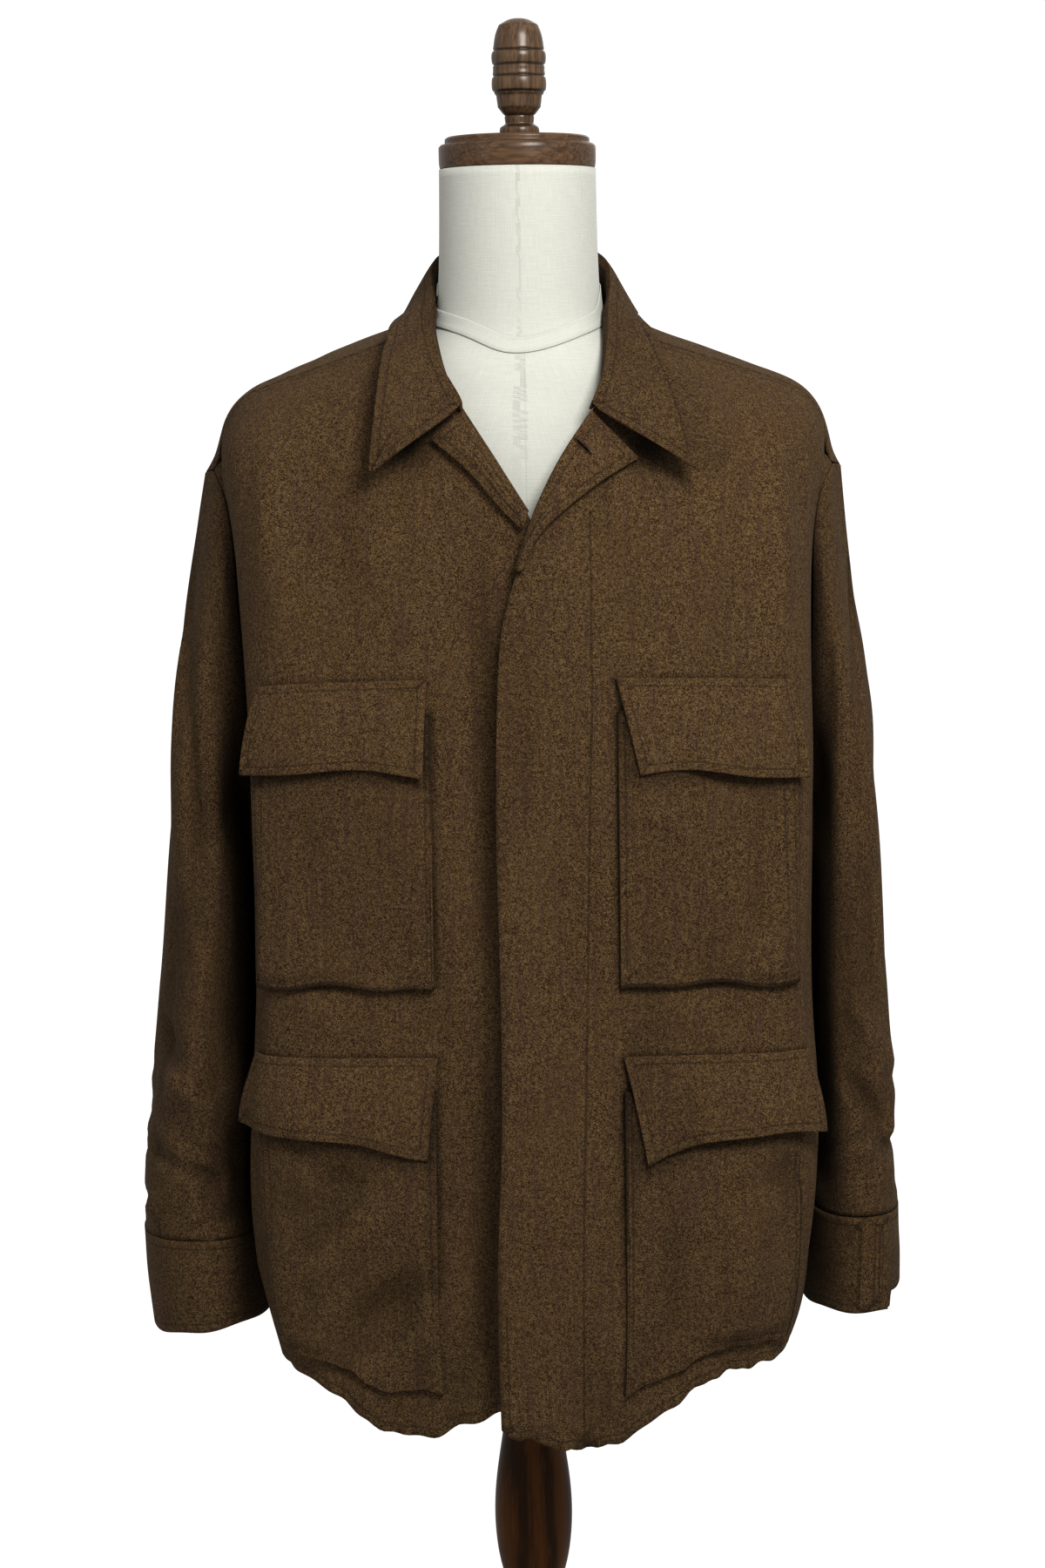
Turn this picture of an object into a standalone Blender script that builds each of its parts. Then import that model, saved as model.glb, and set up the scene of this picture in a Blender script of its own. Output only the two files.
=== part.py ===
"""Battle dress jacket hanging on a limbless dress form, as separate cloth panels.

Metres, +Z up. The origin is under the middle of the form's base. The front faces -Y and the wearer's
left is at +X. Each panel is a thin wall through sections that are worked out from the tables below.
"""

import math

import bmesh
import bpy
import numpy as np
from mathutils import Vector
from mathutils.bvhtree import BVHTree

# ---- driving dimensions -----------------------------------------------------------------------------
WALL = 0.0018  # wool cloth, with its seam allowances
FOLDED_WALL = 0.0024  # cloth doubled on itself, as in a flap or a cuff
SEAM_GAP = 0.0003
SHOULDER_SEAM = 0.0016  # keeps the walls apart behind the seam, where the two panels meet at an angle
ARMHOLE_GAP = 0.0012  # measured on the outer faces, so that the walls behind stay clear
HEM_Z = 0.646
ARMPIT_Z = 1.115
NECK_POINT_Z = 1.4583  # where the forward shoulder seam meets the neck seam
NECK_STEP = 1.488  # the step at which the back reaches the neck
GORGE_Z = 1.401  # where the collar's fold meets the lapel's roll

SIDE_MARGIN = 0.0045  # of a panel's side part, which leaves half of the side seam's gap
LONGEST_BEND = 0.92  # of the way from a corner to the end of its line
ARMHOLE_GROOVE = {"front": 0.012, "back": 0.009}  # the soft hollow down each panel beside its armhole
GROOVE_PLACE = (2.6, 0.45)  # its middle and its reach across the panel
HEM_REACH = 0.09  # how far up the hem's own waves are felt
HEM_WAVES = {  # rise, middle and reach, seen from the front
    "left": ((0.010, 0.165, 0.070), (-0.031, 0.048, 0.066)),
    "right": ((0.012, 0.020, 0.045), (-0.030, 0.090, 0.085)),
}

POCKET_STAND = 0.0052  # how far the folded bellows hold a pocket off its panel
POCKET_FOOT = 0.0005
FLAP_LIFT_TOP = 0.0032
FLAP_LIFT_EDGE = 0.0125
FLAP_CURVE = 2.2
LEAST_STRIP = 0.004
FEEL_ACROSS, FEEL_UP = 0.008, 0.010  # how far apart a panel's points are read for its direction

ROLL_DEPTH = 0.0013  # a lapel's roll starts this far in front of the front's own face
LAPEL_LIFT = 0.0030
LAPEL_SWELL = 0.0045
ROLL_TURN = 0.0008  # how far across its roll takes to turn the lapel out
COLLAR_CLEAR = 0.0042
COLLAR_FOOT_RISE, COLLAR_FOOT_IN = 0.0035, 0.0015  # from the neck seam to the stand's foot
STAND_HOLLOW = 0.002
FOLD_DROP, FOLD_RISE, LEAF_DROP = 0.0035, 0.0015, 0.0030  # inside, over and outside the collar's fold
LEAF_SWELL = 0.0015
LEAF_LAID_FROM = 0.2  # of the way down the leaf
FOLD_SPREAD = 0.45  # of the leaf's own spread
FINIAL_OFF_MIDDLE = 0.0020
CUFF_EASE = 0.0008  # the cuff's face stands this far outside the sleeve's
CUFF_LAP_RISE = 0.0036
CUFF_LAP = 0.07  # of the way round

# A front's section at each height of its inner edge. It runs from that edge towards the corner, turns
# over the bend's length, and ends at the side seam or, above the armpit, at the armhole.
FRONT_COLUMNS = "height corner_x corner_y corner_z end_x end_y end_z bend"
FRONT_ROWS = (
    (0.646, 0.198, -0.148, 0.683, 0.187, 0.000, 0.690, 0.070),
    (0.720, 0.209, -0.148, 0.728, 0.196, 0.000, 0.735, 0.070),
    (0.780, 0.216, -0.146, 0.782, 0.202, 0.000, 0.784, 0.070),
    (0.850, 0.221, -0.143, 0.850, 0.205, 0.000, 0.850, 0.068),
    (0.960, 0.217, -0.136, 0.960, 0.199, 0.000, 0.960, 0.066),
    (1.040, 0.219, -0.134, 1.040, 0.199, 0.000, 1.040, 0.066),
    (1.095, 0.220, -0.132, 1.095, 0.200, 0.000, 1.095, 0.065),
    (1.115, 0.220, -0.132, 1.115, 0.200, 0.000, 1.115, 0.064),
    (1.200, 0.219, -0.126, 1.194, 0.208, -0.044, 1.180, 0.060),
    (1.275, 0.217, -0.117, 1.266, 0.215, -0.052, 1.252, 0.056),
    (1.322, 0.219, -0.107, 1.312, 0.219, -0.052, 1.303, 0.052),
    (1.362, 0.221, -0.094, 1.352, 0.225, -0.047, 1.335, 0.046),
    (1.401, 0.223, -0.074, 1.385, 0.232, -0.036, 1.349, 0.038),
    (1.4583, 0.2245, -0.025, 1.409, 0.236, -0.020, 1.356, 0.026),
)

# The inner edge of each front: the lap under and over, then the roll of the lapel, then the neck seam.
EDGE_COLUMNS = "height under_x under_y over_x over_y"
EDGE_ROWS = (
    (0.646, -0.022, -0.166, -0.0255, -0.192),
    (0.760, -0.022, -0.163, -0.0264, -0.184),
    (0.850, -0.022, -0.160, -0.0263, -0.176),
    (0.970, -0.022, -0.156, -0.0265, -0.168),
    (1.115, -0.022, -0.150, -0.0262, -0.162),
    (1.200, -0.022, -0.145, -0.0228, -0.157),
    (1.240, -0.021, -0.143, -0.0190, -0.154),
    (1.280, -0.018, -0.140, -0.0050, -0.150),
    (1.322, -0.0040, -0.136, 0.0103, -0.145),
    (1.362, 0.0201, -0.127, 0.0306, -0.131),
    (1.401, 0.0456, -0.108, 0.0546, -0.111),
    (1.430, 0.0625, -0.080, 0.0665, -0.081),
    (1.4583, 0.0780, -0.030, 0.0780, -0.030),
)

# The back's section at each step up the panel. Its inner edge is the centre back line and then the neck.
BACK_COLUMNS = "step edge_x edge_y edge_z corner_x corner_y corner_z end_x end_y end_z bend"
BACK_ROWS = (
    (0.650, 0.000, 0.152, 0.682, 0.200, 0.134, 0.682, 0.191, 0.000, 0.684, 0.075),
    (0.720, 0.000, 0.150, 0.732, 0.208, 0.132, 0.732, 0.198, 0.000, 0.733, 0.075),
    (0.780, 0.000, 0.148, 0.784, 0.213, 0.130, 0.784, 0.202, 0.000, 0.784, 0.075),
    (0.850, 0.000, 0.145, 0.850, 0.216, 0.128, 0.850, 0.205, 0.000, 0.850, 0.075),
    (0.960, 0.000, 0.139, 0.960, 0.211, 0.122, 0.960, 0.199, 0.000, 0.960, 0.075),
    (1.040, 0.000, 0.140, 1.040, 0.212, 0.122, 1.040, 0.199, 0.000, 1.040, 0.075),
    (1.095, 0.000, 0.142, 1.095, 0.214, 0.124, 1.095, 0.200, 0.000, 1.095, 0.075),
    (1.115, 0.000, 0.143, 1.115, 0.214, 0.124, 1.115, 0.200, 0.000, 1.115, 0.074),
    (1.200, 0.000, 0.145, 1.200, 0.217, 0.122, 1.198, 0.208, 0.046, 1.180, 0.070),
    (1.280, 0.000, 0.142, 1.280, 0.219, 0.114, 1.274, 0.217, 0.055, 1.258, 0.064),
    (1.350, 0.000, 0.132, 1.350, 0.222, 0.100, 1.338, 0.229, 0.046, 1.320, 0.058),
    (1.420, 0.000, 0.113, 1.420, 0.224, 0.072, 1.388, 0.240, 0.026, 1.345, 0.050),
    (1.488, 0.000, 0.084, 1.488, 0.2235, 0.038, 1.4080, 0.2440, 0.008, 1.353, 0.036),
    (1.520, 0.058, 0.061, 1.482, 0.2225, 0.004, 1.4140, 0.2425, -0.006, 1.3545, 0.026),
    (1.560, 0.078, -0.030, 1.4583, 0.2245, -0.025, 1.409, 0.236, -0.020, 1.356, 0.026),
)

# How far the body hangs to the wearer's left at each height.
SWAY_COLUMNS = "height shift"
SWAY_ROWS = (
    (0.62, 0.003),
    (0.78, 0.0025),
    (0.85, 0.0060),
    (0.96, 0.0070),
    (1.05, 0.0055),
    (1.22, 0.0035),
    (1.30, 0.0010),
    (1.40, 0.0020),
    (1.48, 0.0),
)

# A sleeve's level sections below the armhole: how far its two sides stand from the centre plane, and
# its front and back.
SLEEVE_COLUMNS = "height outer inner front back"
SLEEVE_ROWS = {
    "left": (
        (1.0400, 0.2756, 0.2170, -0.078, 0.086),
        (0.9400, 0.2786, 0.2175, -0.084, 0.082),
        (0.8600, 0.2803, 0.2180, -0.088, 0.072),
        (0.7850, 0.2853, 0.2170, -0.087, 0.058),
        (0.7120, 0.2850, 0.2120, -0.084, 0.052),
    ),
    "right": (
        (1.0400, 0.2770, 0.2060, -0.078, 0.086),
        (0.9400, 0.2860, 0.2070, -0.084, 0.082),
        (0.8600, 0.2930, 0.2075, -0.088, 0.072),
        (0.7725, 0.2985, 0.2070, -0.087, 0.058),
        (0.7030, 0.2910, 0.2020, -0.084, 0.052),
    ),
}
CUFF_SLANT = {"left": 0.0, "right": -0.13}  # rise of the cuff's lower edge, outwards
HEAD_SLOPE = {"left": 0.05, "right": 0.18}  # how steeply each sleeve leaves the shoulder, outwards
HEAD_FULLNESS, UNDERARM_FULLNESS, UNDERARM_REACH = 0.32, 0.9, 0.22  # more of it, in front, behind and below
HEAD_FORWARD = 0.08
SLEEVE_ROUNDNESS = 0.85
SLEEVE_FEEL = 0.02  # how far down the tube is read for its direction
CUFF_LAP_EASE = (3.0, 1.6)  # how many laps long the rise is, and how soon it is full
CUFF_LAP_AT = {"left": 0.165, "right": -0.12}  # where the lap ends, of the way from outside to the front

# The collar from its front end to the centre back: its fold, its leaf's free edge, and how much further
# out the leaf of the wearer's left lies.
COLLAR_COLUMNS = "along fold_x fold_y fold_z edge_x edge_y edge_z spread"
COLLAR_ROWS = (
    (0.00, 0.0440, -0.1130, 1.4010, 0.1125, -0.1380, 1.3510, 0.0185),
    (0.14, 0.0535, -0.0980, 1.4210, 0.1090, -0.1260, 1.3890, 0.0150),
    (0.28, 0.0600, -0.0770, 1.4400, 0.1045, -0.0960, 1.4290, 0.0075),
    (0.42, 0.0645, -0.0420, 1.4640, 0.0975, -0.0480, 1.4570, 0.0010),
    (0.57, 0.0655, -0.0060, 1.4870, 0.0900, -0.0050, 1.4690, 0.0),
    (0.74, 0.0625, 0.0400, 1.5140, 0.0845, 0.0560, 1.4680, 0.0),
    (0.88, 0.0360, 0.0700, 1.5230, 0.0530, 0.0940, 1.4620, 0.0),
    (1.00, 0.0000, 0.0790, 1.5260, 0.0000, 0.1100, 1.4580, 0.0),
)
COLLAR_ROLL = 0.0070  # between the stand's face and the leaf's

# Each lapel from the gorge down: its roll and its free edge, seen from the front.
LAPEL_COLUMNS = "along roll_x roll_z edge_x edge_z"
LAPEL_ROWS = {
    "right": (
        (0.00, 0.0430, 1.3975, 0.0673, 1.3775),
        (0.30, 0.0240, 1.3705, 0.0406, 1.3549),
        (0.60, 0.0070, 1.3435, 0.0225, 1.3335),
        (0.80, -0.0015, 1.3300, 0.0110, 1.3205),
        (1.00, -0.0055, 1.3235, 0.0000, 1.3100),
    ),
    "left": (
        (0.00, 0.0522, 1.3970, 0.0870, 1.3616),
        (0.20, 0.0308, 1.3665, 0.0616, 1.3466),
        (0.45, 0.0120, 1.3310, 0.0330, 1.3255),
        (0.65, 0.0040, 1.3110, 0.0145, 1.3085),
        (0.85, -0.0025, 1.2930, 0.0055, 1.2930),
        (1.00, -0.0060, 1.2800, 0.0005, 1.2805),
    ),
}

# Each pocket and flap on its front: the heights of its top and bottom edges, and how far across the
# panel its inner and outer edges lie. A flap's lower edge is shorter or longer at either end.
POCKET_COLUMNS = "top bottom inner outer"
POCKET_ROWS = {
    ("chest", "left"): (1.178, 0.972, 0.0690, 0.204),
    ("chest", "right"): (1.178, 0.972, 0.0690, 0.207),
    ("hip", "left"): (0.895, 0.680, 0.0715, 0.206),
    ("hip", "right"): (0.895, 0.680, 0.0690, 0.206),
}
FLAP_COLUMNS = "top bottom inner outer inner_cut outer_reach"
FLAP_ROWS = {
    ("chest", "left"): (1.203, 1.130, 0.0680, 0.200, 0.016, 0.006),
    ("chest", "right"): (1.203, 1.130, 0.0715, 0.203, 0.003, 0.004),
    ("hip", "left"): (0.921, 0.850, 0.0710, 0.218, 0.016, 0.004),
    ("hip", "right"): (0.921, 0.850, 0.0670, 0.216, 0.008, 0.012),
}
# How much a flap's lower edge is raised at five even places, from its inner end to its outer one.
FLAP_EDGE_RISES = {
    ("chest", "left"): (0.0, 0.0030, 0.0, -0.0030, -0.0065),
    ("chest", "right"): (0.0, 0.0030, 0.0050, 0.0030, 0.0),
    ("hip", "left"): (-0.0110, 0.0070, 0.0100, 0.0115, 0.0085),
    ("hip", "right"): (-0.0040, 0.0045, 0.0095, 0.0135, 0.0175),
}

# The form's level sections. The rows above 1.36 round in to its shoulders and its neck.
FORM_COLUMNS = "height half_width front back"
FORM_ROWS = (
    (0.800, 0.160, -0.108, 0.112),
    (0.880, 0.166, -0.114, 0.116),
    (0.980, 0.156, -0.108, 0.100),
    (1.080, 0.166, -0.116, 0.106),
    (1.180, 0.180, -0.124, 0.112),
    (1.280, 0.188, -0.122, 0.112),
    (1.340, 0.193, -0.112, 0.104),
    (1.375, 0.197, -0.100, 0.092),
    (1.394, 0.195, -0.093, 0.082),
    (1.405, 0.184, -0.087, 0.074),
    (1.419, 0.156, -0.082, 0.070),
    (1.433, 0.127, -0.076, 0.067),
    (1.445, 0.096, -0.069, 0.066),
    (1.456, 0.073, -0.0650, 0.064),
    (1.468, 0.0645, -0.0630, 0.0625),
    (1.490, 0.0620, -0.0615, 0.0615),
    (1.530, 0.0608, -0.0608, 0.0608),
    (1.5807, 0.0604, -0.0604, 0.0604),
)

# Turned profiles, as radius and height from the top down.
CAP_PROFILE = (
    (0.0, 1.6050),
    (0.0540, 1.6050),
    (0.0558, 1.6036),
    (0.0558, 1.6000),
    (0.0590, 1.5992),
    (0.0606, 1.5974),
    (0.0606, 1.5836),
    (0.0594, 1.5810),
    (0.0, 1.5810),
)
FINIAL_PROFILE = (
    (0.0, 1.6950),
    (0.0080, 1.6938),
    (0.0150, 1.6895),
    (0.0184, 1.6820),
    (0.0194, 1.6720),
    (0.0206, 1.6690),
    (0.0213, 1.6650),
    (0.0206, 1.6608),
    (0.0195, 1.6555),
    (0.0206, 1.6508),
    (0.0213, 1.6450),
    (0.0206, 1.6396),
    (0.0176, 1.6362),
    (0.0165, 1.6275),
    (0.0116, 1.6212),
    (0.0108, 1.6150),
    (0.0148, 1.6128),
    (0.0156, 1.6092),
    (0.0148, 1.6053),
    (0.0, 1.6053),
)
POLE_PROFILE = (
    (0.0, 0.7997),
    (0.0210, 0.7997),
    (0.0210, 0.6900),
    (0.0185, 0.6400),
    (0.0215, 0.6150),
    (0.0255, 0.5900),
    (0.0298, 0.5620),
    (0.0310, 0.5350),
    (0.0288, 0.5100),
    (0.0250, 0.4930),
    (0.0190, 0.4750),
    (0.0225, 0.4640),
    (0.0225, 0.4520),
    (0.0180, 0.4400),
    (0.0210, 0.3000),
    (0.0250, 0.1200),
    (0.0340, 0.0700),
    (0.0340, 0.0453),
    (0.0, 0.0453),
)
BASE_PROFILE = (
    (0.0, 0.0450),
    (0.1250, 0.0450),
    (0.1600, 0.0400),
    (0.1850, 0.0310),
    (0.1900, 0.0240),
    (0.1900, 0.0040),
    (0.1870, 0.0),
    (0.0, 0.0),
)

# ---- mesh resolution --------------------------------------------------------------------------------
STRAIGHT_STRIPS, TURN_STRIPS, SIDE_STRIPS = 5, 6, 3
LOW_LEVELS, FRONT_HIGH_LEVELS, BACK_HIGH_LEVELS, NECK_LEVELS = 12, 12, 10, 3
SLEEVE_HEAD_STEPS, SLEEVE_LOW_STEPS = 7, 8
FLAP_LEVELS = 6
CUFF_SIDES, CUFF_LEVELS = 24, 4
COLLAR_STATIONS, LEAF_STEPS = 27, 4
LAPEL_STRIPS, LAPEL_LEVELS = 5, 10
FORM_SIDES = 26
TURNED_STEPS = 24

# ---- finishes: name, colour, roughness --------------------------------------------------------------
WOOL = ("wool_twill", (0.070, 0.043, 0.022, 1.0), 0.92)
LINEN = ("linen", (0.72, 0.72, 0.66, 1.0), 0.85)
WALNUT = ("walnut", (0.085, 0.045, 0.022, 1.0), 0.38)

UP = np.array([0.0, 0.0, 1.0])
CHEST = (0.0, 0.0, 1.30)  # inside the body, below the collar
SIGN = {"left": 1.0, "right": -1.0}


# ---- small tools ------------------------------------------------------------------------------------
def clear_scene():
    for obj in list(bpy.data.objects):
        bpy.data.objects.remove(obj, do_unlink=True)


def part_collection():
    name = "battle_dress_jacket"
    found = bpy.data.collections.get(name)
    if not found:
        found = bpy.data.collections.new(name)
        bpy.context.scene.collection.children.link(found)
    return found


def material(finish):
    name, colour, roughness = finish
    found = bpy.data.materials.get(name)
    if found:
        return found
    made = bpy.data.materials.new(name)
    made.use_nodes = True
    shader = made.node_tree.nodes["Principled BSDF"]
    shader.inputs["Base Color"].default_value = colour
    shader.inputs["Roughness"].default_value = roughness
    shader.inputs["Metallic"].default_value = 0.0
    return made


def table(columns, rows):
    """The columns of a table by name, as arrays."""
    return dict(zip(columns.split(), np.array(rows, float).T))


def smooth(at, stops, values):
    """A cubic through the values, with slopes from their neighbours, read at one place."""
    at = min(max(at, stops[0]), stops[-1])
    slopes = np.gradient(values, stops)
    i = min(int(np.searchsorted(stops, at, side="right")) - 1, len(stops) - 2)
    span = stops[i + 1] - stops[i]
    t = (at - stops[i]) / span
    rise = values[i + 1] - values[i]
    start = slopes[i] * span
    finish = slopes[i + 1] * span
    return values[i] + t * (start + t * (3 * rise - 2 * start - finish + t * (start + finish - 2 * rise)))


def read(columns, at, *names):
    """Values of named columns at one place along the table's first column."""
    stops = next(iter(columns.values()))
    return [float(smooth(at, stops, columns[name])) for name in names]


def rounded(t, middle, reach):
    """1 in the middle and 0 beyond the reach, round at both."""
    away = min(abs(t - middle) / reach, 1.0)
    return (1 - away * away) ** 2


def turned_corner(edge, corner, end, bend, s):
    """A point on a line that turns at the corner: s runs to 1 along the straight part from the edge, to
    2 round the turn and to 3 along the rest."""
    first, second = edge - corner, end - corner
    first_length, second_length = np.linalg.norm(first), np.linalg.norm(second)
    start = corner + first / first_length * min(bend, LONGEST_BEND * first_length)
    finish = corner + second / second_length * min(bend, LONGEST_BEND * second_length)
    if s < 1:
        return edge + (start - edge) * s
    if s > 2:
        return finish + (end - finish) * (s - 2)
    u = s - 1
    return start * (1 - u) ** 2 + corner * 2 * u * (1 - u) + finish * u * u


def resample(points, count):
    """The same line through an even number of points."""
    points = np.asarray(points)
    length = np.concatenate([[0], np.cumsum(np.linalg.norm(np.diff(points, axis=0), axis=1))])
    places = np.linspace(0, length[-1], count)
    return np.stack([np.interp(places, length, points[:, axis]) for axis in range(3)], axis=1)


FRONT = table(FRONT_COLUMNS, FRONT_ROWS)
EDGE = table(EDGE_COLUMNS, EDGE_ROWS)
BACK = table(BACK_COLUMNS, BACK_ROWS)
SWAY = table(SWAY_COLUMNS, SWAY_ROWS)
SLEEVE = {side: table(SLEEVE_COLUMNS, rows[::-1]) for side, rows in SLEEVE_ROWS.items()}
COLLAR = table(COLLAR_COLUMNS, COLLAR_ROWS)
LAPEL = {side: table(LAPEL_COLUMNS, rows) for side, rows in LAPEL_ROWS.items()}
FORM = table(FORM_COLUMNS, FORM_ROWS)
POCKETS = {key: dict(zip(POCKET_COLUMNS.split(), row)) for key, row in POCKET_ROWS.items()}
FLAPS = {key: dict(zip(FLAP_COLUMNS.split(), row)) for key, row in FLAP_ROWS.items()}


def placed(point, side):
    """A point of the wearer's left half, turned to its side and swayed."""
    shift = smooth(point[2], SWAY["height"], SWAY["shift"])
    return np.array([point[0] * SIGN[side] + shift, point[1], point[2]])


# ---- the body's outer face --------------------------------------------------------------------------
def front_point(side, s, height):
    """The outer face of a front, s across from its inner edge to its side, at a height of that edge."""
    lap = "over" if side == "left" else "under"
    edge = np.array([*read(EDGE, height, lap + "_x", lap + "_y"), height])
    values = read(FRONT, height, *FRONT_COLUMNS.split()[1:])
    point = turned_corner(edge, np.array(values[0:3]), np.array(values[3:6]), values[6], s)
    point[0] -= ARMHOLE_GROOVE["front"] * rounded(s, *GROOVE_PLACE) * rounded(point[2], 1.30, 0.12)
    near_hem = rounded(height, HEM_Z, HEM_REACH)
    for rise, middle, reach in HEM_WAVES[side]:
        point[2] += rise * rounded(point[0], middle, reach) * near_hem
    return placed(point, side)


def back_point(s, step):
    """The outer face of the back, s from -3 at the wearer's right side to 3 at the left one."""
    side = "left" if s >= 0 else "right"
    values = read(BACK, step, *BACK_COLUMNS.split()[1:])
    edge, corner, end = (np.array(values[i : i + 3]) for i in (0, 3, 6))
    if step <= NECK_STEP:
        edge[0] = 0.0
    point = turned_corner(edge, corner, end, values[9], abs(s))
    point[0] -= ARMHOLE_GROOVE["back"] * rounded(abs(s), *GROOVE_PLACE) * rounded(point[2], 1.28, 0.12)
    return placed(point, side)


def strips():
    """Places across a half of the body, with most of them where it turns."""
    straight = np.linspace(0, 1, STRAIGHT_STRIPS + 1)
    turn = np.linspace(1, 2, TURN_STRIPS + 1)[1:]
    rest = np.linspace(2, 3 - SIDE_MARGIN, SIDE_STRIPS + 1)[1:]
    return np.concatenate([straight, turn, rest])


def front_heights():
    low = np.linspace(HEM_Z, ARMPIT_Z, LOW_LEVELS + 1)
    high = np.linspace(ARMPIT_Z, NECK_POINT_Z, FRONT_HIGH_LEVELS + 1)
    return np.concatenate([low[:-1], high])


def back_steps():
    low = np.linspace(BACK_ROWS[0][0], ARMPIT_Z, LOW_LEVELS + 1)
    high = np.linspace(ARMPIT_Z, NECK_STEP, BACK_HIGH_LEVELS + 1)
    neck = np.linspace(NECK_STEP, BACK_ROWS[-1][0], NECK_LEVELS + 1)
    return np.concatenate([low[:-1], high[:-1], neck])


class FrontFace:
    """A front's own facets, measured across from the centre line and by height."""

    def __init__(self, side):
        self.side = side
        self.heights = front_heights()
        self.rows = np.array([[front_point(side, s, height) for s in strips()] for height in self.heights])
        steps = np.linalg.norm(np.diff(self.rows, axis=1), axis=2)
        self.places = np.concatenate([np.zeros((len(self.rows), 1)), np.cumsum(steps, axis=1)], axis=1)
        for places, row in zip(self.places, self.rows):
            places -= np.interp(0.0, row[:, 0] * SIGN[side], places)

    def at(self, height):
        """The panel's points along one height, and how far across each of them is."""
        i = min(int(np.searchsorted(self.heights, height, side="right")) - 1, len(self.heights) - 2)
        u = (height - self.heights[i]) / (self.heights[i + 1] - self.heights[i])
        return [grid[i] * (1 - u) + grid[i + 1] * u for grid in (self.rows, self.places)]

    def point(self, across, height):
        row, places = self.at(height)
        return np.array([np.interp(across, places, row[:, axis]) for axis in range(3)])

    def raised(self, across, height, lift):
        along = self.point(across + FEEL_ACROSS, height) - self.point(across - FEEL_ACROSS, height)
        up = self.point(across, height + FEEL_UP) - self.point(across, height - FEEL_UP)
        normal = np.cross(along, up) * SIGN[self.side]
        return self.point(across, height) + normal / np.linalg.norm(normal) * lift

    def levels(self, bottom, top):
        """Both heights, and the panel's own between them."""
        inside = [h for h in self.heights if bottom + LEAST_STRIP < h < top - LEAST_STRIP]
        return [bottom, *inside, top]

    def columns(self, inner, outer, height):
        """Which of the panel's own columns lie between two places across."""
        places = self.at(height)[1]
        return [k for k, place in enumerate(places) if inner + LEAST_STRIP < place < outer - LEAST_STRIP]

    def across(self, inner, outer, columns, height):
        """The two places and the panel's columns between them, kept in order."""
        places = self.at(height)[1]
        least = LEAST_STRIP / 2
        return [inner, *(min(max(places[k], inner + least), outer - least) for k in columns), outer]


FACE = {side: FrontFace(side) for side in SIGN}


# ---- making pieces ----------------------------------------------------------------------------------
def finish_object(name, mesh, finish):
    made = bpy.data.objects.new(name, mesh)
    part_collection().objects.link(made)
    mesh.materials.append(material(finish))
    mesh.shade_smooth()
    mesh.set_sharp_from_angle(angle=math.radians(40))
    return made


def grid_mesh(name, grids, closed):
    """A surface through rows of points, welded where its grids meet."""
    mesh_edit = bmesh.new()
    for points in grids:
        corners = [[mesh_edit.verts.new(point) for point in row] for row in points]
        columns = len(corners[0])
        for low, high in zip(corners, corners[1:]):
            for c in range(columns if closed else columns - 1):
                after = (c + 1) % columns
                mesh_edit.faces.new((low[c], low[after], high[after], high[c]))
    bmesh.ops.remove_doubles(mesh_edit, verts=mesh_edit.verts, dist=1e-6)
    mesh = bpy.data.meshes.new(name)
    mesh_edit.to_mesh(mesh)
    mesh_edit.free()
    return mesh


def sheet_object(name, grids, finish, wall, closed=False, turn_over=False):
    """A surface through rows of points, thickened behind its outer face into a wall."""
    mesh = grid_mesh(name, grids, closed)
    if turn_over:
        mesh.flip_normals()
    made = finish_object(name, mesh, finish)
    thicken = made.modifiers.new("wall", "SOLIDIFY")
    thicken.thickness = wall
    thicken.offset = -1.0
    return made


def turned_object(name, profile, finish):
    """A profile from the top down, turned about the vertical axis."""
    mesh = bpy.data.meshes.new(name)
    points = [(radius, 0.0, height) for radius, height in profile]
    mesh.from_pydata(points, [(i, i + 1) for i in range(len(points) - 1)], [])
    made = finish_object(name, mesh, finish)
    turn = made.modifiers.new("turn", "SCREW")
    turn.steps = turn.render_steps = TURNED_STEPS
    turn.use_merge_vertices = True
    turn.merge_threshold = 0.00005
    turn.use_smooth_shade = True
    return made


def make_front(side):
    rows = [list(row) for row in FACE[side].rows]
    for c, seam in enumerate(rows[-1]):
        run = seam - rows[-2][c]
        rows[-1][c] = seam - run / np.linalg.norm(run) * SHOULDER_SEAM
    return sheet_object("front_" + side, [rows], WOOL, WALL, turn_over=side == "right")


def make_back():
    halves = []
    for sign in (-1, 1):
        across = strips() * sign
        across[0] = sign * 1e-9
        rows = [[back_point(s, step) for s in across] for step in back_steps()]
        halves.append([row[::sign] for row in rows])
    return sheet_object("back", halves, WOOL, WALL, turn_over=True)


def armhole(side):
    """The armhole from the shoulder seam forwards, under the arm and up the back, off the panels' edges."""
    ends, insides = [], []
    for height in front_heights()[: LOW_LEVELS - 1 : -1]:
        ends.append(front_point(side, 3, height))
        insides.append(front_point(side, 2.6, height - 0.02))
    for step in back_steps()[LOW_LEVELS + 1 : -1]:
        ends.append(back_point(3 * SIGN[side], step))
        insides.append(back_point(2.6 * SIGN[side], step - 0.02))
    ends, insides = np.array(ends), np.array(insides)
    along = np.roll(ends, -1, axis=0) - np.roll(ends, 1, axis=0)
    along /= np.linalg.norm(along, axis=1, keepdims=True)
    away = ends - insides
    away -= along * np.sum(away * along, axis=1, keepdims=True)
    return ends + away / np.linalg.norm(away, axis=1, keepdims=True) * ARMHOLE_GAP


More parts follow.
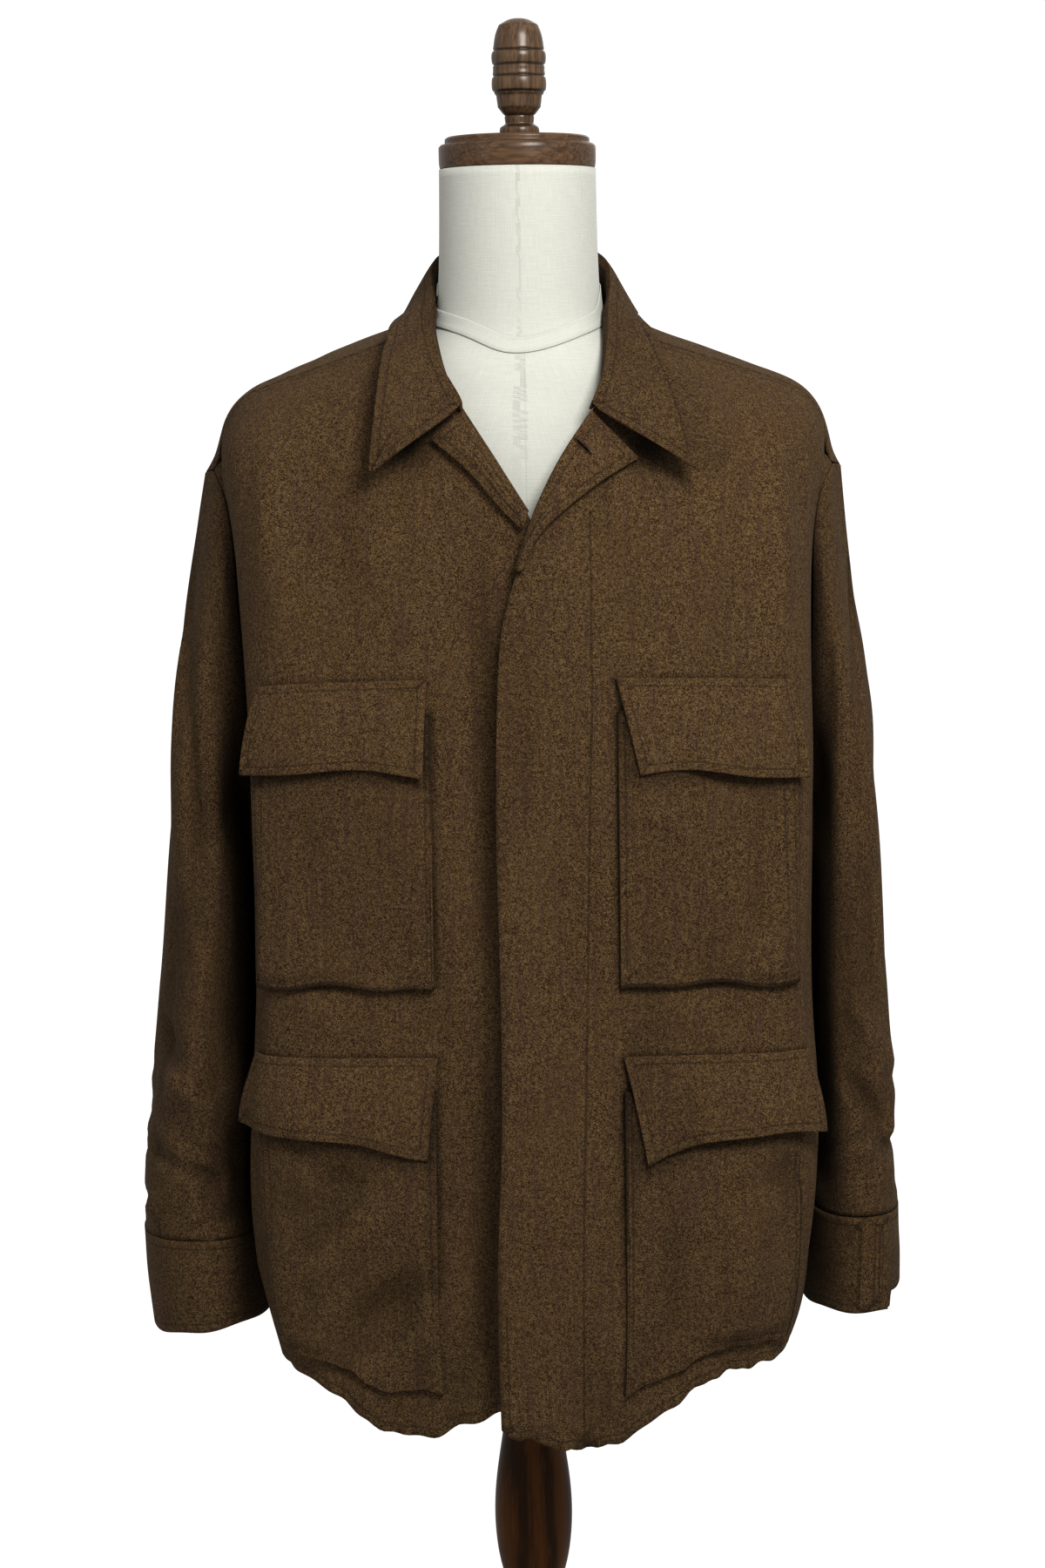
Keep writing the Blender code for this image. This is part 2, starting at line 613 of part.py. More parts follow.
def places_round(ring):
    """How far round each point of an armhole is: 0 at the shoulder seam and a half under the arm."""
    bottom = FRONT_HIGH_LEVELS
    steps = np.linalg.norm(np.diff(ring, axis=0, append=ring[:1]), axis=1)
    front = np.cumsum(steps[:bottom]) / steps[:bottom].sum() / 2
    back = 0.5 + np.cumsum(steps[bottom:]) / steps[bottom:].sum() / 2
    return np.concatenate([[0.0], front, back[:-1]])


def sleeve_point(side, height, around, ease=0.0):
    """The sleeve's outer face at a height, around from its outer side towards the front."""
    outer, inner, front, back = read(SLEEVE[side], height, "outer", "inner", "front", "back")
    angle = 2 * math.pi * around
    out, forward = math.cos(angle), math.sin(angle)
    x = (outer + inner) / 2 + ((outer - inner) / 2 + ease) * math.copysign(abs(out) ** SLEEVE_ROUNDNESS, out)
    reach = (-front if forward > 0 else back) + ease
    y = -reach * math.copysign(abs(forward) ** SLEEVE_ROUNDNESS, forward)
    return np.array([x * SIGN[side], y, height])


def make_sleeve(side):
    head = armhole(side)
    places = places_round(head)
    top_of_tube = SLEEVE_ROWS[side][0][0]
    cuff_top = SLEEVE_ROWS[side][-2][0]
    tube = np.array([sleeve_point(side, top_of_tube, q) for q in places])
    lower = np.array([sleeve_point(side, top_of_tube - SLEEVE_FEEL, q) for q in places])
    run = np.linalg.norm(tube - head, axis=1, keepdims=True)
    underarm = np.array([rounded(q, 0.5, UNDERARM_REACH) for q in places])
    forward = np.sin(2 * math.pi * places)
    out_slope = HEAD_SLOPE[side] + HEAD_FULLNESS * forward**2 + UNDERARM_FULLNESS * underarm
    forward_slope = -HEAD_FORWARD * forward
    leaving = np.stack([out_slope * SIGN[side], forward_slope, -np.ones(len(places))], axis=1)
    arriving = (lower - tube) / SLEEVE_FEEL
    rows = []
    for s in np.linspace(0, 1, SLEEVE_HEAD_STEPS, endpoint=False):
        rise, settle = s * (1 - s) ** 2, s * s * (s - 1)
        from_head, from_tube = (1 + 2 * s) * (1 - s) ** 2, s * s * (3 - 2 * s)
        rows.append(head * from_head + tube * from_tube + (leaving * rise + arriving * settle) * run)
    for height in np.linspace(top_of_tube, cuff_top + SEAM_GAP, SLEEVE_LOW_STEPS + 1):
        rows.append([sleeve_point(side, height, q) for q in places])
    return sheet_object("sleeve_" + side, [rows], WOOL, WALL, closed=True, turn_over=side == "right")


def make_cuff(side):
    """A band round the wrist whose front end laps over the other one."""
    top, bottom = SLEEVE_ROWS[side][-2][0], SLEEVE_ROWS[side][-1][0]
    outer, inner = SLEEVE_ROWS[side][-1][1:3]
    start = CUFF_LAP_AT[side] + CUFF_LAP
    places = start - np.linspace(0, 1 + CUFF_LAP, CUFF_SIDES)
    laps, soon = CUFF_LAP_EASE
    rows = []
    for level in np.linspace(0, 1, CUFF_LEVELS):
        row = []
        for q in places:
            lapped = max(0.0, 1 - (q - places[-1]) / (laps * CUFF_LAP))
            ease = CUFF_EASE + CUFF_LAP_RISE * lapped * min(1, soon * lapped)
            height = top + (bottom - top) * level
            point = sleeve_point(side, height, q, ease)
            outward = abs(point[0]) - (outer + inner) / 2
            point[2] += CUFF_SLANT[side] * outward * level - SEAM_GAP
            row.append(point)
        rows.append(row)
    return sheet_object("cuff_" + side, [rows], WOOL, FOLDED_WALL, turn_over=side == "left")


def make_pocket(side, where):
    """A patch pocket: its face, and bellows down to the panel along both sides and the bottom."""
    top, bottom, inner, outer = POCKETS[where, side].values()
    face = FACE[side]
    columns = face.columns(inner, outer, (top + bottom) / 2)
    rows = []
    for height in face.levels(bottom, top):
        across = face.across(inner, outer, columns, height)
        row = [face.raised(a, height, POCKET_STAND) for a in across]
        first, last = (face.raised(a, height, POCKET_FOOT) for a in (inner, outer))
        if height == bottom:
            rows.append([face.raised(a, height, POCKET_FOOT) for a in [inner, *across, outer]])
        rows.append([first, *row, last])
    return sheet_object(f"pocket_{where}_{side}", [rows], WOOL, WALL, turn_over=side == "right")


def make_flap(side, where):
    top, bottom, inner, outer, inner_cut, outer_reach = FLAPS[where, side].values()
    face = FACE[side]
    columns = face.columns(inner + inner_cut, outer, (top + bottom) / 2)
    rises = FLAP_EDGE_RISES[where, side]
    stops = np.linspace(0, 1, len(rises))
    rows = []
    for hang in np.linspace(1, 0, FLAP_LEVELS + 1):
        height = top - (top - bottom) * hang
        lift = FLAP_LIFT_TOP + (FLAP_LIFT_EDGE - FLAP_LIFT_TOP) * (1 - (1 - hang) ** FLAP_CURVE)
        across = face.across(inner + inner_cut * hang, outer + outer_reach * hang, columns, height)
        row = []
        for a in across:
            rise = smooth((a - across[0]) / (across[-1] - across[0]), stops, rises)
            row.append(face.raised(a, height + rise * hang**FLAP_CURVE, lift))
        rows.append(row)
    return sheet_object(f"flap_{where}_{side}", [rows], WOOL, FOLDED_WALL, turn_over=side == "right")


def surface_tree(*grids):
    """The body's faces, to lay the collar and the lapels on."""
    points, faces = [], []
    for grid in grids:
        rows, columns = len(grid), len(grid[0])
        first = len(points)
        points += [Vector(point) for row in grid for point in row]
        for r in range(rows - 1):
            for c in range(columns - 1):
                low = first + r * columns + c
                faces.append((low, low + 1, low + columns + 1, low + columns))
    return BVHTree.FromPolygons(points, faces)


def body_trees():
    """Each front's face alone, and all three panels together."""
    back = [[back_point(s, step) for s in np.linspace(-3, 3, 61)] for step in np.linspace(1.30, 1.56, 24)]
    trees = {side: surface_tree(FACE[side].rows) for side in SIGN}
    return trees, surface_tree(*(FACE[side].rows for side in SIGN), back)


def lifted(tree, point, middle, clear):
    """The point, moved away from the middle of the body until it is clear of the face."""
    near, _, _, away = tree.find_nearest(Vector(point))
    outward = Vector(point) - Vector(middle)
    beyond = (Vector(point) - near).dot(outward) > 0
    gap = away if beyond else -away
    if gap >= clear:
        return point
    return point + np.array(outward.normalized()) * (clear - gap)


def neckline():
    """The neck seam from the wearer's right gorge round the back to the left one, just above the panels."""
    line = [front_point("right", 0, height) for height in np.linspace(GORGE_Z, NECK_POINT_Z, 12)]
    line += [back_point(-1e-9, step) for step in back_steps()[: -NECK_LEVELS - 2 : -1][1:]]
    line += [back_point(0, step) for step in back_steps()[-NECK_LEVELS:]]
    line += [front_point("left", 0, height) for height in np.linspace(NECK_POINT_Z, GORGE_Z, 12)[1:]]
    return np.array(line)


def make_collar(body_tree):
    seam = resample(neckline(), COLLAR_STATIONS)
    names = COLLAR_COLUMNS.split()[1:]
    rows = []
    for i, from_seam in enumerate(seam):
        place = 2 * i / (COLLAR_STATIONS - 1) - 1
        sign = math.copysign(1.0, place)
        values = read(COLLAR, 1 - abs(place), *names)
        fold = np.array(values[0:3]) * (sign, 1, 1)
        edge = np.array(values[3:6]) * (sign, 1, 1)
        if sign > 0:
            edge[0] += values[6]
            fold[0] += FOLD_SPREAD * values[6]
        outward = np.array([fold[0], fold[1], 0.0])
        outward /= np.linalg.norm(outward)
        foot = from_seam + UP * COLLAR_FOOT_RISE - outward * COLLAR_FOOT_IN
        row = [foot, (foot + fold) / 2 - UP * STAND_HOLLOW, fold - UP * FOLD_DROP]
        row.append(fold + outward * COLLAR_ROLL / 2 + UP * FOLD_RISE)
        leaf_top = fold + outward * COLLAR_ROLL - UP * LEAF_DROP
        for s in np.linspace(0, 1, LEAF_STEPS + 1):
            point = leaf_top + (edge - leaf_top) * s + outward * LEAF_SWELL * math.sin(math.pi * s)
            row.append(lifted(body_tree, point, CHEST, COLLAR_CLEAR) if s > LEAF_LAID_FROM else point)
        rows.append(row)
    return sheet_object("collar", [rows], WOOL, WALL)


def make_lapel(side, tree):
    """The turned-out edge of a front, from just behind its roll to its free edge."""
    rows = []
    for place in np.linspace(0, 1, LAPEL_LEVELS + 1):
        roll_x, roll_z, edge_x, edge_z = read(LAPEL[side], place, *LAPEL_COLUMNS.split()[1:])
        row = []
        for u in np.linspace(0, 1, LAPEL_STRIPS + 1):
            x = (roll_x + (edge_x - roll_x) * u) * SIGN[side]
            z = roll_z + (edge_z - roll_z) * u
            ray = tree.ray_cast(Vector((x, -1.0, z)), Vector((0, 1, 0)))[0]
            near = ray if ray else tree.find_nearest(Vector((x, -0.14, z)))[0]
            if u == 0:
                row.append(np.array([x, near.y - ROLL_DEPTH, z]))
                x += ROLL_TURN * SIGN[side]
            row.append(np.array([x, near.y - LAPEL_LIFT - LAPEL_SWELL * math.sin(math.pi * 0.8 * u), z]))
        rows.append(row)
    return sheet_object("lapel_" + side, [rows], WOOL, WALL, turn_over=side == "left")


def make_form():
    """The linen torso and neck, closed at both ends."""
    mesh_edit = bmesh.new()
    rings = []
    for height, half_width, front, back in zip(*FORM.values()):
        ring = []
        for i in range(FORM_SIDES):
            angle = 2 * math.pi * i / FORM_SIDES
            depth = back if math.sin(angle) > 0 else -front
            ring.append(mesh_edit.verts.new((half_width * math.cos(angle), depth * math.sin(angle), height)))
        rings.append(ring)
    for low, high in zip(rings, rings[1:]):
        for i in range(FORM_SIDES):
            after = (i + 1) % FORM_SIDES
            mesh_edit.faces.new((low[i], low[after], high[after], high[i]))
    mesh_edit.faces.new(rings[0][::-1])
    mesh_edit.faces.new(rings[-1])
    mesh = bpy.data.meshes.new("form")
    mesh_edit.to_mesh(mesh)
    mesh_edit.free()
    return finish_object("form", mesh, LINEN)


def main():
    clear_scene()
    front_trees, body_tree = body_trees()
    make_back()
    make_collar(body_tree)
    for side in SIGN:
        make_front(side)
        make_sleeve(side)
        make_cuff(side)
        make_lapel(side, front_trees[side])
        for where in ("chest", "hip"):
            make_pocket(side, where)
            make_flap(side, where)
    make_form()
    turned_object("neck_cap", CAP_PROFILE, WALNUT)
    turned_object("finial", FINIAL_PROFILE, WALNUT).location.x = FINIAL_OFF_MIDDLE
    turned_object("pole", POLE_PROFILE, WALNUT)
    turned_object("base", BASE_PROFILE, WALNUT)


main()
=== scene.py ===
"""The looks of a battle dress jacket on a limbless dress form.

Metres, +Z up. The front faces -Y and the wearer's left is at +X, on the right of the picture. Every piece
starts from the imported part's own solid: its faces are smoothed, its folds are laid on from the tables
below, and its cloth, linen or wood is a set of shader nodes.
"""

import math

import bmesh
import bpy
import numpy as np
from bpy.props import FloatProperty, FloatVectorProperty, IntProperty, PointerProperty
from mathutils import Matrix, Vector
from mathutils.bvhtree import BVHTree
from mathutils.kdtree import KDTree


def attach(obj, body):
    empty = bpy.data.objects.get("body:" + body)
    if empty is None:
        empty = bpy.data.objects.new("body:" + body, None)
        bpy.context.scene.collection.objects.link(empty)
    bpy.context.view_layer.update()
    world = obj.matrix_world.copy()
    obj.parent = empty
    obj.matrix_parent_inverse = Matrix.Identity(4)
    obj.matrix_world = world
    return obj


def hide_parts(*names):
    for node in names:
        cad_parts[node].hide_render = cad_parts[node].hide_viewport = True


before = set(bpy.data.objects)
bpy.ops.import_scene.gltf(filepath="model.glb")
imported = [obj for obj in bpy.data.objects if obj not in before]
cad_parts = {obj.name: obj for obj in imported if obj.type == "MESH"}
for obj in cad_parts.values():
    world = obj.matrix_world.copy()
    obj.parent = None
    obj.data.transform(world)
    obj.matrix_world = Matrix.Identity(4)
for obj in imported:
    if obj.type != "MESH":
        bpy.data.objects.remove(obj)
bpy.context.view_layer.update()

bl_info = {
    "name": "Battle dress jacket",
    "version": (1, 0, 0),
    "blender": (4, 5, 0),
    "location": "View3D > Sidebar > Jacket",
    "description": "Wool, linen and walnut looks for a jacket on a dress form",
    "category": "Object",
}

SIDES = {"left": 1.0, "right": -1.0}
UP = np.array([0.0, 0.0, 1.0])
ACROSS = np.array([1.0, 0.0, 0.0])

# ---- folds ------------------------------------------------------------------------------------------
# Each fold runs from one place to another, in millimetres: from across and from height, to across and to
# height, width, depth and bow. A positive depth stands proud and a negative one is a trough. The bow is how
# far the fold's middle lies to the side of the straight line.

# Across is X, seen from the front.
FRONT_FOLDS = (
    (-31, 1300, -30, 620, 7, -6.6, 1),
    (-40, 960, -44, 600, 14, -4.6, 2),
    (-190, 800, -105, 852, 20, -5.2, 4),
    (-150, 690, -70, 775, 20, -4.6, 4),
    (-50, 1120, -52, 680, 11, 2.6, -4),
    (-61.3, 1362, -61, 1296, 3.2, -1.4, 2),
    (-51.5, 1366, -52, 1285, 3.4, -1.7, -2),
    (-42.6, 1360, -44, 1300, 3, -1.2, 1),
    (-47, 1290, -50, 1160, 9, -1.6, 3),
    (-104, 1330, -100, 1235, 16, 1.8, 4),
    (-150, 1385, -133, 1240, 12, -1.5, -6),
    (-187, 1400, -183, 1230, 12, 3, 3),
    (-88, 985, -68, 925, 10, -1.6, 3),
    (-166, 962, -124, 938, 10, 2, 3),
    (-188.7, 866, -100.5, 812, 11, -3.4, 6),
    (-164, 742, -90.7, 824, 15, 4.4, -6),
    (-176, 770, -125, 822, 11, -4, 4),
    (-137, 722, -70, 760, 14, -3, 6),
    (-116, 700, -123, 640, 11, 3, 3),
    (-74, 745, -80, 640, 10, 3, 2),
    (60.5, 1352, 61, 1292, 3.6, -1.8, 1),
    (52, 1338, 53, 1280, 3.4, -1.3, -1),
    (69, 1350, 70, 1290, 5, 1.2, 1),
    (13, 1240, 8, 700, 16, 2, 4),
    (59, 1180, 56, 690, 8, 2.2, -2),
    (20, 790, 9, 660, 12, -2.2, 3),
    (90, 1310, 82, 1220, 15, -1.6, 3),
    (156, 1390, 144, 1245, 14, 1.8, 5),
    (189, 1385, 188, 1230, 12, 3, -3),
    (82, 1110, 136, 1085, 12, 1.7, 4),
    (170, 1060, 183, 985, 10, -2.2, 4),
    (96, 955, 150, 938, 11, 1.7, -3),
    (96, 850, 129, 700, 16, -2.8, 8),
    (138, 815, 203, 838, 12, -3.4, 4),
    (156, 840, 150, 700, 18, 3.8, -6),
    (185, 800, 178, 690, 11, -3, 4),
    (70, 735, 64, 640, 11, 2.8, 2),
)

# Across is X, seen from the back.
BACK_FOLDS = (
    (-170, 1400, -118, 1150, 18, 4.8, 10),
    (-142, 1380, -93, 1200, 13, -3.6, 8),
    (176, 1390, 129, 1120, 18, 4.6, -8),
    (148, 1370, 106, 1190, 14, -3.6, -10),
    (-35, 1330, -48, 960, 17, 2.6, 8),
    (56, 1300, 42, 900, 19, 3, -10),
    (-4, 1180, 3, 840, 16, -3.4, 6),
    (-118, 1120, -133, 820, 17, -4, 8),
    (-86, 1060, -93, 720, 19, 4.2, -6),
    (108, 1080, 119, 760, 18, -4, 6),
    (154, 1020, 157, 700, 18, 4.4, 5),
    (-172, 1040, -164, 740, 15, 3.6, -5),
    (-175, 980, -70, 925, 15, -2.8, 8),
    (178, 960, 82, 915, 15, -2.6, -6),
    (-38, 850, -48, 680, 16, -4.2, 4),
    (15, 840, 18, 680, 19, 5, -4),
    (66, 820, 70, 680, 15, -4, 4),
)

# Across is Y, seen from the side. Both sides take them, with a little difference in height.
SIDE_FOLDS = (
    (-70, 1090, -42, 860, 15, -3.6, 6),
    (-30, 1060, -16, 780, 16, 3.6, -4),
    (20, 1080, 26, 840, 14, -3.2, 5),
    (64, 1050, 52, 740, 17, 4, -6),
    (-82, 840, -60, 690, 15, 3.6, 4),
    (18, 820, 12, 690, 15, 3.4, 4),
    (-26, 800, -30, 690, 13, -3.4, 3),
    (90, 860, 82, 690, 14, -3.6, 4),
)

# Across is how far round the sleeve, from its outer side towards the front.
SLEEVE_FOLDS = {
    "right": (
        (60, 1300, 72, 1020, 13, 3.8, 6),
        (95, 1270, 100, 1060, 11, -4.2, 4),
        (30, 1220, 22, 960, 16, -3.4, -6),
        (74, 1040, 52, 860, 14, -3.6, 6),
        (108, 1000, 94, 880, 11, 3.6, 4),
        (20, 950, 90, 905, 10, -3.6, 6),
        (46, 900, 116, 862, 9, 3.8, -5),
        (12, 868, 70, 832, 9, -3.4, 4),
        (80, 838, 130, 812, 8, -3.2, 3),
        (40, 824, 44, 780, 8, 2.6, 1),
        (92, 820, 90, 780, 7, 2.4, 1),
        (-60, 1260, -80, 1000, 16, 4, 6),
        (-110, 1240, -120, 980, 16, -4.4, 4),
        (-40, 980, -110, 920, 12, -4, 6),
        (-20, 900, -90, 850, 11, 3.8, -4),
        (-130, 930, -70, 830, 12, -3.6, 5),
    ),
    "left": (
        (64, 1290, 70, 1040, 12, 3.6, -5),
        (96, 1300, 104, 1090, 12, -4, 4),
        (34, 1200, 30, 900, 15, -3.6, 6),
        (86, 1060, 66, 900, 13, -3.4, -6),
        (50, 980, 54, 800, 12, 3, 4),
        (110, 950, 50, 890, 11, 3.6, 5),
        (118, 900, 58, 850, 10, -4, -5),
        (14, 900, 64, 856, 10, 3, 4),
        (96, 850, 40, 822, 8, -3.2, 3),
        (76, 836, 78, 792, 8, 2.6, 1),
        (-56, 1250, -74, 990, 15, 4, -6),
        (-104, 1230, -116, 960, 16, -4.2, 5),
        (-30, 990, -100, 930, 12, -3.8, -6),
        (-120, 940, -50, 880, 12, 3.8, 5),
        (-20, 860, -90, 830, 10, -3.4, 4),
    ),
}
SLEEVE_MIDDLE = {"left": 0.2500, "right": -0.2500}
SLEEVE_RADIUS = 0.062
SLEEVE_HALF_WIDTH = 0.042
SLEEVE_HALF_DEPTH = 0.085
SLEEVE_END = {"left": 0.793, "right": 0.774}  # heights where the sleeves' folds end above the cuffs
SLEEVE_SWAY = {"left": 2.0, "right": 4.0}  # shifts of the sleeves' unrest
GROOVE_OPENING = 0.0045  # how far a sleeve's front stands off beside the body
CUFF_LAP_END = 0.0615  # round the left cuff, where its front end stops over the other one
CUFF_STEP = 0.012  # how much higher the under end's lower edge hangs
COLLAR_GAPS = (  # X, height, reach and lift, where the leaf stands off beside the gorge
    (-0.0850, 1.3740, 0.018, 0.0080),
    (0.0950, 1.3725, 0.019, 0.0090),
)
COLLAR_FACE = -0.06  # Y, behind which the gaps end
HEM_ZONE = 0.735  # the height below which the hem waves and is stitched
SHOULDER_HEIGHT = 1.395
SHOULDER_FACE = -0.050  # Y, in front of which the shoulder seam isn't stitched
POCKET_SIDES = {"chest": (0.985, 1.170), "hip": (0.700, 0.888)}  # heights between which sides are stitched
POCKET_FULL = {"chest": 0.0026, "hip": 0.0032}
SLEEVES = ("sleeve_left", "sleeve_right")
BODY = ("back", "front_left", "front_right")
SEWN_PLACES = (("left", "chest"), ("left", "hip"), ("right", "chest"), ("right", "hip"))

# A slow unrest of the whole cloth: wave lengths across and up, height of the waves, and their seeds.
UNREST = ((0.150, 0.420, 0.0016, 3), (0.062, 0.210, 0.0009, 11), (0.028, 0.075, 0.0004, 23))

# ---- stitching --------------------------------------------------------------------------------------
EDGE_STITCH = 0.0062
HEM_STITCH = 0.0115
BELLOWS_LINE = 0.0035
NO_STITCH = 1.0
STITCH_LENGTH = 0.0032
LINE_STEP = 0.0012  # between the points that stand for a corner line
BUTTONHOLE = (0.0455, 1.3705)  # X and height of its middle
BUTTONHOLE_HALF_LENGTH = 0.0078
BUTTONHOLE_HALF_WIDTH = 0.0013
BUTTONHOLE_THREAD = 0.00062
BUTTONHOLE_STITCHES = 72
THREAD_SIDES = 8

# The line that holds the hidden fly, as X and height.
FLY_LINE = (
    (0.0503, 1.3275),
    (0.0501, 1.1888),
    (0.0470, 1.0866),
    (0.0432, 0.9233),
    (0.0390, 0.7803),
    (0.0379, 0.6286),
)

# The tape sewn round the form's neck, as X and height seen from the front, and round the back.
TAPE_LINE = ((-0.0643, 1.4710), (-0.0258, 1.4532), (0.0016, 1.4462), (0.0343, 1.4544), (0.0594, 1.4669))
TAPE_BACK = ((0.0640, 1.4850), (0.0350, 1.4930), (0.0, 1.4960), (-0.0350, 1.4940), (-0.0650, 1.4870))
TAPE_WIDTH = 0.0135
TAPE_WALL = 0.0007
TAPE_POINTS = 160
TAPE_ROWS = 7
TAPE_PACE = 0.0026
TAPE_STITCH = 0.0020
FORM_SEAM_X = 0.0033
FORM_SEAM_TOP = 1.4465

# How far each turned piece of the stand has bleached; the bleached ones are varnished glossier too.
STAND_TONES = {"neck_cap": 0.80, "finial": 0.95, "pole": 0.0, "base": 0.15}
FINIAL_GROOVES = (1.6702, 1.6592, 1.6508, 1.6392, 1.6212, 1.6132)
GROOVE_WIDTH = 0.0009
GROOVE_SHARE = 0.05  # of the finial's radius

# ---- stage ------------------------------------------------------------------------------------------
FLOOR_REACH = 1.7
LIGHTS = (  # name, place, what it is aimed at, size, and the setting that holds its power
    ("key", (0.6, -1.6, 2.4), (0.0, 0.0, 1.30), 0.8, "key_power"),
    ("fill", (-2.2, -2.0, 2.2), (0.0, 0.0, 1.30), 1.6, "fill_power"),
    ("back", (0.4, 2.4, 2.6), (0.0, 0.0, 1.20), 2.0, "fill_power"),
)
CAMERA_PLACE = (-0.0018, -3.2, 1.392)
CAMERA_DIP = 5.03  # degrees below level
CAMERA_ROLL = -0.7

CONSTANT_SOCKETS = {
    "sheen_weight": "Sheen Weight",
    "sheen_roughness": "Sheen Roughness",
    "sheen_tint": "Sheen Tint",
    "specular": "Specular IOR Level",
    "coat_roughness": "Coat Roughness",
}


# ---- shader maths -----------------------------------------------------------------------------------
class Value:
    """A number in a material: an expression on it adds the Math nodes."""

    def __init__(self, finish, socket):
        self.finish = finish
        self.socket = socket

    def math(self, operation, *others):
        node = self.finish.node("ShaderNodeMath", {"operation": operation}, dict(enumerate((self, *others))))
        return Value(self.finish, node.outputs[0])

    def of(self, other, operation):
        node = self.finish.node("ShaderNodeMath", {"operation": operation}, {0: other, 1: self})
        return Value(self.finish, node.outputs[0])

    def __add__(self, other):
        return self.math("ADD", other)

    def __radd__(self, other):
        return self.of(other, "ADD")

    def __sub__(self, other):
        return self.math("SUBTRACT", other)

    def __rsub__(self, other):
        return self.of(other, "SUBTRACT")

    def __mul__(self, other):
        return self.math("MULTIPLY", other)

    def __rmul__(self, other):
        return self.of(other, "MULTIPLY")

    def __truediv__(self, other):
        return self.math("DIVIDE", other)

    def __abs__(self):
        return self.math("ABSOLUTE")

    def sine(self):
        return self.math("SINE")

    def fraction(self):
        return self.math("FRACT")

    def wave(self, length, wander):
        """A ripple of the given length between 0 and 1, which wanders to and fro."""
        return (self * (2 * math.pi / length) + wander).sine() * 0.5 + 0.5

    def within(self, low, high):
        """0 at the low value and 1 at the high one, eased between them."""
        ends = {"Value": self, "From Min": low, "From Max": high}
        node = self.finish.node("ShaderNodeMapRange", {"interpolation_type": "SMOOTHSTEP"}, ends)
        return Value(self.finish, node.outputs["Result"])


class Finish:
    """A material that is built from nodes."""

    def __init__(self, name):
        self.material = bpy.data.materials.new(name)
        self.material.use_nodes = True
        self.tree = self.material.node_tree
        self.shader = self.tree.nodes["Principled BSDF"]

    def connect(self, target, value):
        if isinstance(value, Value):
            value = value.socket
        if isinstance(value, bpy.types.NodeSocket):
            self.tree.links.new(value, target)
        else:
            target.default_value = value

    def node(self, kind, settings, inputs):
        made = self.tree.nodes.new(kind)
        for name, setting in settings.items():
            if name == "stops":
                self.set_stops(made.color_ramp, setting)
            else:
                setattr(made, name, setting)
        for name, value in inputs.items():
            self.connect(made.inputs[name], value)
        return made

    @staticmethod
    def set_stops(ramp, stops):
        while len(ramp.elements) < len(stops):
            ramp.elements.new(1.0)
        for element, (place, colour) in zip(ramp.elements, stops):
            element.position = place
            element.color = colour

    def attribute(self, name):
        return Value(self, self.node("ShaderNodeAttribute", {"attribute_name": name}, {}).outputs["Fac"])

    def place(self, name):
        """A vector that the mesh carries, and its three numbers."""
        vector = self.node("ShaderNodeAttribute", {"attribute_name": name}, {}).outputs["Vector"]
        parts = self.node("ShaderNodeSeparateXYZ", {}, {0: vector}).outputs
        return vector, *(Value(self, part) for part in parts)

    def noise(self, vector, scale, detail=2.0, rough=0.5, warp=0.0):
        """Noise of one scale, or of three: across, along and through."""
        if isinstance(scale, tuple):
            settings = {"operation": "MULTIPLY"}
            vector = self.node("ShaderNodeVectorMath", settings, {0: vector, 1: scale}).outputs[0]
            scale = 1.0
        inputs = {"Vector": vector, "Scale": scale, "Detail": detail, "Roughness": rough, "Distortion": warp}
        return Value(self, self.node("ShaderNodeTexNoise", {}, inputs).outputs["Fac"])

    def blend(self, factor, first, second):
        mixed = {0: factor, 6: first, 7: second}
        return self.node("ShaderNodeMix", {"data_type": "RGBA"}, mixed).outputs[2]

    def layers(self, colour, *layers):
        """Lays each tone over the colour, as far as its share goes."""
        for share, tone in layers:
            colour = self.blend(share, colour, tone)
        return colour

    def finish(self, colour, roughness, height, depth, strength=1.0, **constants):
        bump = self.node("ShaderNodeBump", {}, {"Height": height, "Distance": depth, "Strength": strength})
        self.connect(self.shader.inputs["Base Color"], colour)
        self.connect(self.shader.inputs["Roughness"], roughness)
        self.connect(self.shader.inputs["Normal"], bump.outputs["Normal"])
        for name, value in constants.items():
            self.shader.inputs[CONSTANT_SOCKETS[name]].default_value = value
        return self.material


def shade(colour, *shares):
    """A colour times one share, or times one for each of its three parts."""
    return (*(part * share for part, share in zip(colour, shares * 3)), 1.0)


